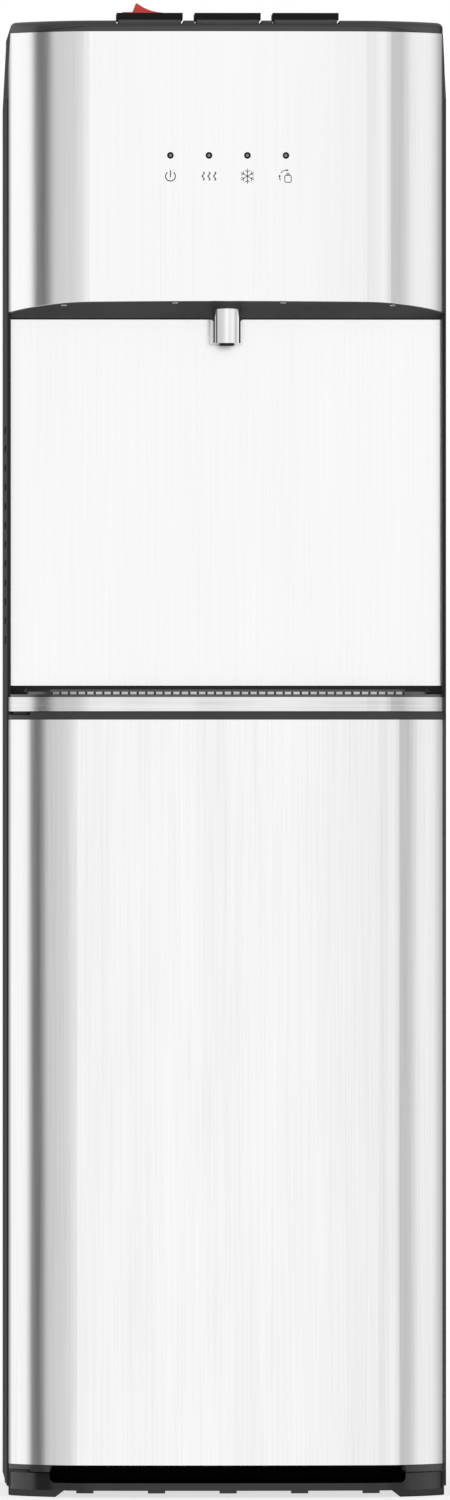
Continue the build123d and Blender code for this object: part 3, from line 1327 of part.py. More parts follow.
def rocker(x):
    """Rocker with a shallow V face, tipped to one side, on two stub pins."""
    rise = ROCKER_FACE + ROCKER_HALF * math.tan(math.radians(ROCKER_TILT))
    profile = [
        (rise, -ROCKER_HALF),
        (ROCKER_FACE, 0),
        (rise, ROCKER_HALF),
        (0, ROCKER_HALF),
        (-ROCKER_HEEL, ROCKER_HEEL_HALF),
        (-ROCKER_HEEL, -ROCKER_HEEL_HALF),
        (0, -ROCKER_HALF),
    ]
    key = side_prism(profile, -ROCKER_WIDTH / 2, ROCKER_WIDTH / 2)
    pin = ROCKER_WIDTH / 2 + ROCKER_PIN_LENGTH
    key = key + rod((-pin, 0, 0), (1, 0, 0), ROCKER_PIN, 2 * pin)
    return Pos(x, PIVOT_ROCKER_Y, Z_SWITCH) * Rot(-ROCKER_TILT, 0, 0) * key


def cord_gland():
    """Open gland where the supply lead enters."""
    start = BACK_Y + GLAND_STAND - GLAND_LENGTH
    gland = rod((GLAND_X, start, Z_GLAND), (0, 1, 0), GLAND_RADIUS, GLAND_LENGTH)
    gland = gland + rod((GLAND_X, BACK_Y, Z_GLAND), (0, 1, 0), GLAND_FLANGE, GLAND_STAND)
    return gland - rod((GLAND_X, start - WALL, Z_GLAND), (0, 1, 0), GLAND_BORE, GLAND_LENGTH + 2 * WALL)


def door_side(inset, low, high):
    """Full plan of the door at an inset, cut off at its rear plane."""
    plan = bowed(inset, SIDE_Y + WALL, low, high, curve=DOOR_CURVE)
    return plan & box((-BODY_HALF, BODY_HALF), (FRONT_Y - WALL, DOOR_REAR_Y), (low, high))


def door_skin():
    """Bowed steel front of the door."""
    skin = band(0, SKIN, SIDE_Y, Z_DOOR_LOW, Z_DOOR_STEEL, DOOR_CURVE)
    return skin & box((-BODY_HALF, BODY_HALF), (FRONT_Y - WALL, DOOR_REAR_Y), (Z_DOOR_LOW, Z_DOOR_STEEL))


def door_liner():
    """Hollow inner door with a shallow pocket towards the bottle."""
    low = Z_DOOR_LOW
    high = Z_DOOR_STEEL
    liner = door_side(CARRIER_OUT, low, high)
    core = bowed(CARRIER_IN, SIDE_Y + WALL, low - WALL, high + WALL, curve=DOOR_CURVE)
    wide = box((-BODY_HALF, BODY_HALF), (FRONT_Y, DOOR_REAR_Y - WALL), (low - WALL, high + WALL))
    pocket_low = low + DOOR_POCKET_MARGIN
    pocket_high = high - DOOR_POCKET_MARGIN
    dent = box(
        (-DOOR_POCKET_HALF, DOOR_POCKET_HALF),
        (DOOR_REAR_Y - DOOR_POCKET_DEPTH, DOOR_REAR_Y + WALL),
        (pocket_low, pocket_high),
    )
    backing = box(
        (-DOOR_POCKET_HALF - WALL, DOOR_POCKET_HALF + WALL),
        (DOOR_REAR_Y - DOOR_POCKET_DEPTH - WALL, DOOR_REAR_Y),
        (pocket_low - WALL, pocket_high + WALL),
    )
    liner = liner - ((core & wide) - backing) - dent
    for start in (low - WALL, high - PIN_LENGTH - WALL):
        hole = rod((HINGE_X, HINGE_Y, start), (0, 0, 1), PIN_RADIUS + 2 * SHADOW, PIN_LENGTH + 2 * WALL)
        liner = liner - hole
    return liner


def door_top_cap():
    """Dark cap on the door with the upper pin's bore and a swept notch for the hinge plate."""
    cap = door_side(CAP_INSET, Z_DOOR_STEEL, Z_DOOR_TOP)
    notch = Z_TRIM_LOW - HINGE_PLATE - PLATE_GAP
    cap = cap - rod((HINGE_X, HINGE_Y, notch), (0, 0, 1), HINGE_SWEEP, DOOR_CAP)
    start = Z_DOOR_STEEL - WALL
    return cap - rod((HINGE_X, HINGE_Y, start), (0, 0, 1), PIN_RADIUS + RUN_FIT, DOOR_CAP + WALL)


def door_bottom_cap():
    """Dark cap below the door, cut away above the kick opening."""
    low = Z_DOOR_LOW - DOOR_CAP_LOW
    cap = door_side(CAP_INSET, low, Z_DOOR_LOW)
    front = (FRONT_Y - WALL, DOOR_REAR_Y - WALL)
    cap = cap - box((-KICK_HALF, KICK_HALF), front, (low - WALL, Z_DOOR_LOW - CAP_WEB))
    notch = Z_PLINTH + HINGE_PLATE + PLATE_GAP
    cap = cap - rod((HINGE_X, HINGE_Y, notch - DOOR_CAP_LOW), (0, 0, 1), HINGE_SWEEP, DOOR_CAP_LOW)
    start = low - WALL
    return cap - rod((HINGE_X, HINGE_Y, start), (0, 0, 1), PIN_RADIUS + RUN_FIT, DOOR_CAP_LOW + 2 * WALL)


def door_magnet():
    """Magnet block on the free edge of the door, which meets the frame flange."""
    right = FACE_HALF - WALL
    low = Z_DECK + MAGNET_LIFT
    x = (right - MAGNET_WIDTH, right)
    return box(x, (DOOR_REAR_Y + BOND, SIDE_Y - SHADOW), (low, low + MAGNET_HEIGHT))


def hinge_plate(low):
    """Flat hinge plate that follows the front corner."""
    plate = box(
        (HINGE_X - HINGE_HALF, HINGE_X + HINGE_HALF),
        (HINGE_Y - HINGE_NOSE, SIDE_Y - BOND),
        (low, low + HINGE_PLATE),
    )
    return plate & bowed(SHEET, SIDE_Y + WALL, low, low + HINGE_PLATE)


def upper_hinge():
    """Hinge plate under the ledge with a pin down into the door."""
    low = Z_TRIM_LOW - HINGE_PLATE
    return hinge_plate(low) + rod((HINGE_X, HINGE_Y, low), (0, 0, -1), PIN_RADIUS, PIN_LENGTH)


def lower_hinge():
    """Hinge plate on the plinth with a pin up into the door."""
    return hinge_plate(Z_PLINTH) + rod((HINGE_X, HINGE_Y, Z_PLINTH), (0, 0, 1), PIN_RADIUS, PIN_LENGTH)


PIECES = {
    "foot_pads": foot_pads,
    "base_plinth": base_plinth,
    "bottle_floor": bottle_floor,
    "left_side_panel": left_side_panel,
    "right_side_panel": right_side_panel,
    "rear_panel": rear_panel,
    "machine_deck": machine_deck,
    "tank_bracket": tank_bracket,
    "drip_ledge": drip_ledge,
    "ledge_trim": ledge_trim,
    "drip_tray": drip_tray,
    "drip_grille": drip_grille,
    "alcove_liner": alcove_liner,
    "recess_panel": recess_panel,
    "hood_skin": hood_skin,
    "hood_carrier": hood_carrier,
    "hood_underside": hood_underside,
    "indicator_lenses": indicator_lenses,
    "control_board": control_board,
    "spout": spout,
    "spout_nozzle": spout_nozzle,
    "outlet_manifold": outlet_manifold,
    "tap_valves": tap_valves,
    "top_cover": top_cover,
    "hot_paddle": hot_paddle,
    "room_paddle": lambda: paddle(PADDLE_XS[1]),
    "cold_paddle": lambda: paddle(PADDLE_XS[2]),
    "child_lock": child_lock,
    "paddle_shaft": paddle_shaft,
    "outlet_hoses": outlet_hoses,
    "feed_hoses": feed_hoses,
    "cold_tank": cold_tank,
    "evaporator_jacket": evaporator_jacket,
    "foam_jacket": foam_jacket,
    "foam_lid": foam_lid,
    "hot_tank": hot_tank,
    "drain_pipe": drain_pipe,
    "drain_cap": drain_cap,
    "compressor": compressor,
    "compressor_mounts": compressor_mounts,
    "filter_drier": filter_drier,
    "refrigerant_lines": refrigerant_lines,
    "condenser_coil": condenser_coil,
    "condenser_wires": condenser_wires,
    "wall_spacers": wall_spacers,
    "water_pump": water_pump,
    "probe": probe,
    "probe_hose": probe_hose,
    "switch_housing": switch_housing,
    "heat_rocker": lambda: rocker(SWITCH_XS[0]),
    "cool_rocker": lambda: rocker(SWITCH_XS[1]),
    "light_rocker": lambda: rocker(SWITCH_XS[2]),
    "cord_gland": cord_gland,
    "door_skin": door_skin,
    "door_liner": door_liner,
    "door_top_cap": door_top_cap,
    "door_bottom_cap": door_bottom_cap,
    "door_magnet": door_magnet,
    "upper_hinge": upper_hinge,
    "lower_hinge": lower_hinge,
}

os.makedirs("parts", exist_ok=True)
for name, make in PIECES.items():
    export_step(make(), f"parts/{name}.step")
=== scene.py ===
"""Looks of a bottom-loading water cooler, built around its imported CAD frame.

Sizes of pieces are in millimetres, in the frame of the part's source. Meshes are in metres, as are the
studio and the places that a finish names.
"""
from __future__ import annotations

import logging
import math
from dataclasses import dataclass, field
from enum import Enum
from typing import Iterable, Optional, Sequence, Union

import bmesh
import bpy
from bmesh.types import BMEdge, BMesh, BMVert
from mathutils import Matrix, Vector


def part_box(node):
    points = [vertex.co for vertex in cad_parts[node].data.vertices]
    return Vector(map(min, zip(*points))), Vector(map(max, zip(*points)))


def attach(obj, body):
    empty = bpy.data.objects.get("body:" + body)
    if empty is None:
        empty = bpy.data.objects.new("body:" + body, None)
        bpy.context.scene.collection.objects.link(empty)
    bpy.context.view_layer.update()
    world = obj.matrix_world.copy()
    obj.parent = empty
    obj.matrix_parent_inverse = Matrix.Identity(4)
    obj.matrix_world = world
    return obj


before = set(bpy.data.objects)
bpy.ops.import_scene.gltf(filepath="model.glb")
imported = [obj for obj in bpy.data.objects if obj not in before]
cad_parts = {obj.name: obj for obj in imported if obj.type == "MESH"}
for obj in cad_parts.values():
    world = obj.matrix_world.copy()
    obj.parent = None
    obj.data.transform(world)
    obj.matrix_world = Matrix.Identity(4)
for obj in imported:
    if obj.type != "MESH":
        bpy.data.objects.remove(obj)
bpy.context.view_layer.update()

LOG = logging.getLogger("water_cooler")
MM = 0.001
MIX_LOW = 6
MIX_HIGH = 7
MIX_RESULT = 2
RAY_KINDS = ("Camera", "Glossy", "Transmission")
CORNER_STEPS = 4
INK_LIFT = 0.01
INK_THICKNESS = 0.06

Colour = tuple[float, float, float]
Rgba = tuple[float, float, float, float]
Point = tuple[float, float]
Spot = tuple[float, float, float]
Scale = Union[float, Spot]
Value = Union["Wire", float, Sequence[float]]


def rgba(colour: Colour, share: float = 1.0) -> Rgba:
    """Colour with full cover, made darker or lighter by a share."""
    return (*(share * part for part in colour), 1.0)


def grey(level: float) -> Rgba:
    """Grey with full cover."""
    return rgba((level, level, level))


def unique(items: Iterable) -> list:
    """Items without doubles, in the order in which they come."""
    return list(dict.fromkeys(items))


def pick(items: Sequence, kind: type) -> list:
    """Elements of one kind among those that an operator returns."""
    return [item for item in items if isinstance(item, kind)]


class Wire:
    """One output in a node tree, which takes part in Python arithmetic."""

    def __init__(self, bench: Bench, socket: Optional[bpy.types.NodeSocket]) -> None:
        """Keep the tree's bench and the socket."""
        self.bench = bench
        self.socket = socket

    def __add__(self, other: Value) -> Wire:
        """Sum of two values."""
        return self.bench.math("ADD", self, other)

    def __radd__(self, other: Value) -> Wire:
        """Sum with a plain number on the left."""
        return self.bench.math("ADD", other, self)

    def __sub__(self, other: Value) -> Wire:
        """Difference of two values."""
        return self.bench.math("SUBTRACT", self, other)

    def __rsub__(self, other: Value) -> Wire:
        """Difference with a plain number on the left."""
        return self.bench.math("SUBTRACT", other, self)

    def __mul__(self, other: Value) -> Wire:
        """Product of two values."""
        return self.bench.math("MULTIPLY", self, other)

    def __rmul__(self, other: Value) -> Wire:
        """Product with a plain number on the left."""
        return self.bench.math("MULTIPLY", other, self)

    def __truediv__(self, other: Value) -> Wire:
        """Quotient of two values."""
        return self.bench.math("DIVIDE", self, other)

    def __rtruediv__(self, other: Value) -> Wire:
        """Quotient with a plain number on the left."""
        return self.bench.math("DIVIDE", other, self)

    def __pow__(self, other: Value) -> Wire:
        """Power of a value."""
        return self.bench.math("POWER", self, other)

    def __rpow__(self, other: Value) -> Wire:
        """Power of a plain number on the left."""
        return self.bench.math("POWER", other, self)

    def __neg__(self) -> Wire:
        """Value with its sign turned."""
        return self.bench.math("MULTIPLY", self, -1.0)

    def clamp(self) -> Wire:
        """Value held between 0 and 1."""
        return self.bench.node("ShaderNodeMath", {"operation": "ADD", "use_clamp": True}, {0: self, 1: 0.0})

    def spread(self, gain: float) -> Wire:
        """Value stretched about one half by a gain and held between 0 and 1."""
        return ((self - 0.5) * gain + 0.5).clamp()


class Bench:
    """A node tree under construction."""

    def __init__(self, tree: bpy.types.NodeTree) -> None:
        """Empty the tree and keep it."""
        tree.nodes.clear()
        self.tree = tree

    def node(
        self,
        kind: str,
        settings: Optional[dict] = None,
        sockets: Optional[dict] = None,
        out: Union[int, str] = 0,
    ) -> Wire:
        """Add a node, with its settings made before its sockets.

        Args:
            kind: Node type.
            settings: Attributes of the node; "stops" gives a colour ramp's positions and greys.
            sockets: Input name or number to a value or a wire.
            out: Output that the wire starts from.

        Returns:
            Wire from the chosen output, or an empty one where the node has none.
        """
        step = self.tree.nodes.new(kind)
        for key, value in (settings or {}).items():
            if key == "stops":
                self._set_stops(step.color_ramp, value)
            else:
                setattr(step, key, value)
        for key, value in (sockets or {}).items():
            if isinstance(value, Wire):
                self.tree.links.new(value.socket, step.inputs[key])
            else:
                step.inputs[key].default_value = value
        return Wire(self, step.outputs[out] if len(step.outputs) else None)

    @staticmethod
    def _set_stops(ramp: bpy.types.ColorRamp, stops: Sequence[Point]) -> None:
        """Give a colour ramp its grey stops.

        Args:
            ramp: Ramp to fill.
            stops: Position and grey of each stop, from left to right.
        """
        while len(ramp.elements) > 1:
            ramp.elements.remove(ramp.elements[-1])
        for number, (place, level) in enumerate(stops):
            element = ramp.elements[0] if number == 0 else ramp.elements.new(place)
            element.position = place
            element.color = grey(level)

    def math(self, operation: str, first: Value, second: Value) -> Wire:
        """Result of a Math node on two values."""
        return self.node("ShaderNodeMath", {"operation": operation}, {0: first, 1: second})

    def coords(self, scale: Scale = 1.0) -> Wire:
        """Object coordinates.

        Args:
            scale: Cells per metre, along every axis or along X, Y and Z.

        Returns:
            Wire with the scaled place.
        """
        cells = (scale,) * 3 if isinstance(scale, float) else scale
        place = self.node("ShaderNodeTexCoord", out="Object")
        return self.node("ShaderNodeMapping", sockets={"Vector": place, "Scale": cells})

    def along(self, axis: str) -> Wire:
        """Object coordinate along one axis, in metres."""
        return self.node("ShaderNodeSeparateXYZ", sockets={0: self.coords()}, out=axis)

    def noise(self, scale: Scale, detail: float) -> Wire:
        """Noise in object space, by its cells per metre and its number of finer octaves."""
        sockets = {"Vector": self.coords(scale), "Scale": 1.0, "Detail": detail}
        return self.node("ShaderNodeTexNoise", sockets=sockets, out="Fac")

    def cells(self, scale: Scale, distance: str = "EUCLIDEAN", out: str = "Distance") -> Wire:
        """Voronoi cells in object space.

        Args:
            scale: Cells per metre.
            distance: How the distance to a cell's middle is measured.
            out: Output of the texture.

        Returns:
            Wire from the texture.
        """
        sockets = {"Vector": self.coords(scale), "Scale": 1.0}
        return self.node("ShaderNodeTexVoronoi", {"distance": distance}, sockets, out)

    def blend(self, factor: Value, low: Value, high: Value) -> Wire:
        """Colour between two colours, by the colour sockets of a Mix node."""
        sockets = {0: factor, MIX_LOW: low, MIX_HIGH: high}
        return self.node("ShaderNodeMix", {"data_type": "RGBA"}, sockets, MIX_RESULT)

    def bump(self, height: Wire, depth: float, strength: float) -> Wire:
        """Normal raised by a height.

        Args:
            height: Height between 0 and 1.
            depth: Height in millimetres that a value of 1 stands for.
            strength: Share of the effect.

        Returns:
            Wire for a shader's Normal socket.
        """
        sockets = {"Strength": strength, "Distance": depth * MM, "Height": height}
        return self.node("ShaderNodeBump", sockets=sockets)


class Grain(Enum):
    """Way in which brushed or drawn lines run."""

    UPRIGHT = "along Z"
    ROUND = "round Z"

    def scale(self, fine: float, run: float) -> Spot:
        """Cells per metre along X, Y and Z.

        Args:
            fine: Cells per metre across the lines.
            run: Cells per metre along the lines.

        Returns:
            Scale for a texture.
        """
        if self is Grain.UPRIGHT:
            return (fine, fine, run)
        return (run, run, fine)


@dataclass(frozen=True)
class Finish:
    """A finish, with the colour and roughness that every kind has.

    In the kinds, patterns are in cells per metre, depths of relief in millimetres, and weights and swings
    are in the order in which the patterns are made.
    """

    name: str
    colour: Colour
    roughness: float

    def shade(self, bench: Bench) -> dict:
        """Shader sockets of this finish; each kind has its own."""
        raise NotImplementedError

    def swing(self, *shares: tuple[Wire, float]) -> Wire:
        """Roughness that swings evenly about this finish's own.

        Args:
            shares: Patterns between 0 and 1, each with the width of its swing.

        Returns:
            Wire for a shader's Roughness socket.
        """
        lowest = self.roughness - sum(width for _, width in shares) / 2
        return sum((pattern * width for pattern, width in shares), lowest)

    def material(self) -> bpy.types.Material:
        """Material of this finish, made on first use.

        Returns:
            Material with the finish's name.
        """
        made = bpy.data.materials.get(self.name)
        if made is None:
            made = bpy.data.materials.new(self.name)
            made.use_nodes = True
            bench = Bench(made.node_tree)
            shader = bench.node("ShaderNodeBsdfPrincipled", sockets=self.shade(bench))
            bench.node("ShaderNodeOutputMaterial", sockets={"Surface": shader})
        return made


@dataclass(frozen=True)
class BrushedSteel(Finish):
    """Stainless sheet with long brushed lines."""

    shadow: Colour = (0.88, 0.88, 0.878)
    grain: Grain = Grain.UPRIGHT
    lines: float = 1300.0
    streaks: float = 520.0
    contrast: float = 2.6
    line_run: float = 6.0
    streak_run: float = 7.0
    clouds: Spot = (30.0, 30.0, 3.0)
    weights: Spot = (0.3, 0.45, 0.25)
    lift: float = 0.45
    gloss_swing: float = 0.12
    depth: float = 0.02
    relief: float = 0.25

    def shade(self, bench: Bench) -> dict:
        """Streaked colour and roughness, and a fine scratch relief.

        Args:
            bench: Node tree of the material.

        Returns:
            Shader sockets and what feeds them.
        """
        lines = bench.noise(self.grain.scale(self.lines, self.line_run), detail=2.0)
        streaks = bench.noise(self.grain.scale(self.streaks, self.streak_run), detail=3.0)
        clouds = bench.noise(self.clouds, detail=2.0)
        mixed = lines * self.weights[0] + streaks * self.weights[1] + clouds * self.weights[2]
        tone = mixed.spread(self.contrast) ** self.lift
        return {
            "Base Color": bench.blend(tone, rgba(self.shadow), rgba(self.colour)),
            "Metallic": 1.0,
            "Roughness": self.swing((streaks, self.gloss_swing)),
            "Normal": bench.bump(lines, self.depth, self.relief),
        }


@dataclass(frozen=True)
class MouldedPlastic(Finish):
    """Moulded plastic with a fine spark-eroded grain, and with other tones in some places.

    A finish with a painted shade box is painted near black and dull within its half width in X and behind its
    depth in Y, in metres: painted shade in a recess.
    A finish with a painted light chin has another grey below its height in Z, in metres: painted light on a
    chin that lies in shade.
    An edge of 500 fades over a 500th of a metre.
    """

    specular: float = 0.3
    grain: float = 1500.0
    depth: float = 0.04
    coat: float = 0.0
    painted_shade_box: Optional[Point] = None
    painted_light_chin: Optional[Point] = None
    flow: float = 18.0
    tints: Point = (0.82, 1.22)
    weights: Point = (0.4, 0.6)
    contrast: float = 1.8
    swings: Point = (0.08, 0.14)
    coat_roughness: float = 0.06
    relief: float = 0.35
    painted_shade_edges: Point = (500.0, 300.0)
    painted_shade_grey: float = 0.001
    painted_light_chin_edge: float = 4000.0

    def shade(self, bench: Bench) -> dict:
        """Fine grain, slow changes of tone and gloss, painted shade in a recess and painted light on a chin.

        Args:
            bench: Node tree of the material.

        Returns:
            Shader sockets and what feeds them.
        """
        pores = bench.noise(self.grain, detail=1.0)
        flow = bench.noise(self.flow, detail=3.0)
        mixed = pores * self.weights[0] + flow * self.weights[1]
        low, high = (rgba(self.colour, share) for share in self.tints)
        tone = bench.blend(mixed.spread(self.contrast), low, high)
        coat: Value = self.coat
        # Painted shade: inside the box the colour goes near black and the coat goes, standing in for shade in
        # a recess.
        if self.painted_shade_box is not None:
            side = bench.math("ABSOLUTE", bench.along("X"), 0.0)
            within = ((self.painted_shade_box[0] - side) * self.painted_shade_edges[0]).clamp()
            behind = ((bench.along("Y") - self.painted_shade_box[1]) * self.painted_shade_edges[1]).clamp()
            painted_shade_mask = within * behind
            tone = bench.blend(painted_shade_mask, tone, grey(self.painted_shade_grey))
            coat = self.coat * (1.0 - painted_shade_mask)
        # Painted light: another grey below a height, standing in for light on a chin that lies in shade.
        if self.painted_light_chin is not None:
            below = ((self.painted_light_chin[0] - bench.along("Z")) * self.painted_light_chin_edge).clamp()
            tone = bench.blend(below, tone, grey(self.painted_light_chin[1]))
        return {
            "Base Color": tone,
            "Roughness": self.swing((pores, self.swings[0]), (flow, self.swings[1])),
            "Specular IOR Level": self.specular,
            "Coat Weight": coat,
            "Coat Roughness": self.coat_roughness,
            "Normal": bench.bump(pores, self.depth, self.relief),
        }


@dataclass(frozen=True)
class PowderCoat(Finish):
    """Baked paint with a soft orange-peel relief."""

    specular: float = 0.3
    peel: float = 420.0
    depth: float = 0.06
    flow: Spot = (12.0, 12.0, 7.0)
    tints: Point = (0.85, 1.18)
    contrast: float = 1.8
    gloss_swing: float = 0.12
    relief: float = 0.3

    def shade(self, bench: Bench) -> dict:
        """Peel relief, and slow changes of tone and gloss.

        Args:
            bench: Node tree of the material.

        Returns:
            Shader sockets and what feeds them.
        """
        peel = bench.noise(self.peel, detail=1.0)
        flow = bench.noise(self.flow, detail=3.0)
        low, high = (rgba(self.colour, share) for share in self.tints)
        return {
            "Base Color": bench.blend(flow.spread(self.contrast), low, high),
            "Roughness": self.swing((flow, self.gloss_swing)),
            "Specular IOR Level": self.specular,
            "Normal": bench.bump(peel, self.depth, self.relief),
        }


@dataclass(frozen=True)
class ZincSheet(Finish):
    """Hot-dip zinc with its crystal spangle."""

    spangle: float = 95.0
    stain: float = 30.0
    dark: float = 0.72
    weights: Point = (0.7, 0.3)
    swings: Point = (0.16, 0.1)

    def shade(self, bench: Bench) -> dict:
        """Tone and gloss of their own for each crystal.

        Args:
            bench: Node tree of the material.

        Returns:
            Shader sockets and what feeds them.
        """
        crystal = bench.cells(self.spangle, out="Color")
        tone = bench.node("ShaderNodeSeparateColor", sockets={"Color": crystal})
        stain = bench.noise(self.stain, detail=4.0)
        mixed = (tone * self.weights[0] + stain * self.weights[1]).clamp()
        return {
            "Base Color": bench.blend(mixed, rgba(self.colour, self.dark), rgba(self.colour)),
            "Metallic": 1.0,
            "Roughness": self.swing((tone, self.swings[0]), (stain, self.swings[1])),
        }


@dataclass(frozen=True)
class DrawnMetal(Finish):
    """Bare metal with drawing or rolling lines and some tarnish."""

    tarnish: Colour = (0.4, 0.4, 0.4)
    cover: float = 0.3
    grain: Grain = Grain.ROUND
    lines: float = 700.0
    run: float = 12.0
    patches: float = 26.0
    contrast: float = 3.0
    swings: Point = (0.1, 0.08)
    depth: float = 0.02
    relief: float = 0.2

    def shade(self, bench: Bench) -> dict:
        """Drawn lines, and tarnish in soft patches.

        Args:
            bench: Node tree of the material.

        Returns:
            Shader sockets and what feeds them.
        """
        lines = bench.noise(self.grain.scale(self.lines, self.run), detail=2.0)
        patches = bench.noise(self.patches, detail=5.0).spread(self.contrast)
        return {
            "Base Color": bench.blend(patches * self.cover, rgba(self.colour), rgba(self.tarnish)),
            "Metallic": 1.0,
            "Roughness": self.swing((lines, self.swings[0]), (patches, self.swings[1])),
            "Normal": bench.bump(lines, self.depth, self.relief),
        }


@dataclass(frozen=True)
class PolishedChrome(Finish):
    """Plated chrome with a faint haze."""

    haze: float = 60.0
    dark: float = 0.94
    contrast: float = 2.0
    gloss_swing: float = 0.06

    def shade(self, bench: Bench) -> dict:
        """Mirror metal whose haze drifts a little.

        Args:
            bench: Node tree of the material.

        Returns:
            Shader sockets and what feeds them.
        """
        haze = bench.noise(self.haze, detail=3.0)
        low = rgba(self.colour, self.dark)
        return {
            "Base Color": bench.blend(haze.spread(self.contrast), low, rgba(self.colour)),
            "Metallic": 1.0,
            "Roughness": self.swing((haze, self.gloss_swing)),
        }


@dataclass(frozen=True)
class Rubber(Finish):
    """Matt rubber or soft silicone."""

    bloom: Colour = (0.06, 0.06, 0.06)
    grain: float = 900.0
    dust: float = 40.0
    contrast: float = 2.5
    cover: float = 0.5
    gloss_swing: float = 0.1
    specular: float = 0.35
    depth: float = 0.05
    relief: float = 0.4

    def shade(self, bench: Bench) -> dict:
        """Dusty bloom and a fine skin.

        Args:
            bench: Node tree of the material.

        Returns:
            Shader sockets and what feeds them.
        """
        skin = bench.noise(self.grain, detail=2.0)
        dust = bench.noise(self.dust, detail=4.0).spread(self.contrast)
        return {
            "Base Color": bench.blend(dust * self.cover, rgba(self.colour), rgba(self.bloom)),
            "Roughness": self.swing((skin, self.gloss_swing)),
            "Specular IOR Level": self.specular,
            "Normal": bench.bump(skin, self.depth, self.relief),
        }


@dataclass(frozen=True)
class CellFoam(Finish):
    """Rigid foam with a cellular skin."""

    cell: float = 260.0
    age: float = 16.0
    dark: float = 0.72
    weights: Point = (0.3, 0.7)
    contrast: float = 1.8
    gloss_swing: float = 0.1
    depth: float = 0.6
    relief: float = 0.5

    def shade(self, bench: Bench) -> dict:
        """Cells in relief and patchy colour.

        Args:
            bench: Node tree of the material.

        Returns:
            Shader sockets and what feeds them.
        """
        cells = bench.cells(self.cell)
        age = bench.noise(self.age, detail=4.0)
        tone = (cells * self.weights[0] + age * self.weights[1]).spread(self.contrast)
        return {
            "Base Color": bench.blend(tone, rgba(self.colour, self.dark), rgba(self.colour)),
            "Roughness": self.swing((age, self.gloss_swing)),
            "Normal": bench.bump(cells, self.depth, self.relief),
        }


@dataclass(frozen=True)
class SolderMask(Finish):
    """Circuit board lacquer with lighter lines over the copper."""

    track: Colour = (0.1, 0.32, 0.16)
    pitch: float = 300.0
    sharpness: float = 4.0
    offset: float = 1.4
    gloss_swing: float = 0.1
    depth: float = 0.04
    relief: float = 0.4

    def shade(self, bench: Bench) -> dict:
        """Square-cornered tracks under gloss lacquer.

        Args:
            bench: Node tree of the material.

        Returns:
            Shader sockets and what feeds them.
        """
        squares = bench.cells(self.pitch, "CHEBYCHEV")
        track = (squares * self.sharpness - self.offset).clamp()
        return {
            "Base Color": bench.blend(track, rgba(self.colour), rgba(self.track)),
            "Roughness": self.swing((track, self.gloss_swing)),
            "Normal": bench.bump(track, self.depth, self.relief),
        }


@dataclass(frozen=True)
class Print(Finish):
    """Screen-printed ink, a little thin in places."""

    thin: Colour = (0.2, 0.2, 0.2)
    grain: float = 700.0
    contrast: float = 1.6
    gloss_swing: float = 0.2
    specular: float = 0.15

    def shade(self, bench: Bench) -> dict:
        """Ink whose cover varies.

        Args:
            bench: Node tree of the material.

        Returns:
            Shader sockets and what feeds them.
        """
        cover = bench.noise(self.grain, detail=2.0)
        return {
            "Base Color": bench.blend(cover.spread(self.contrast), rgba(self.colour), rgba(self.thin)),
            "Roughness": self.swing((cover, self.gloss_swing)),
            "Specular IOR Level": self.specular,
        }


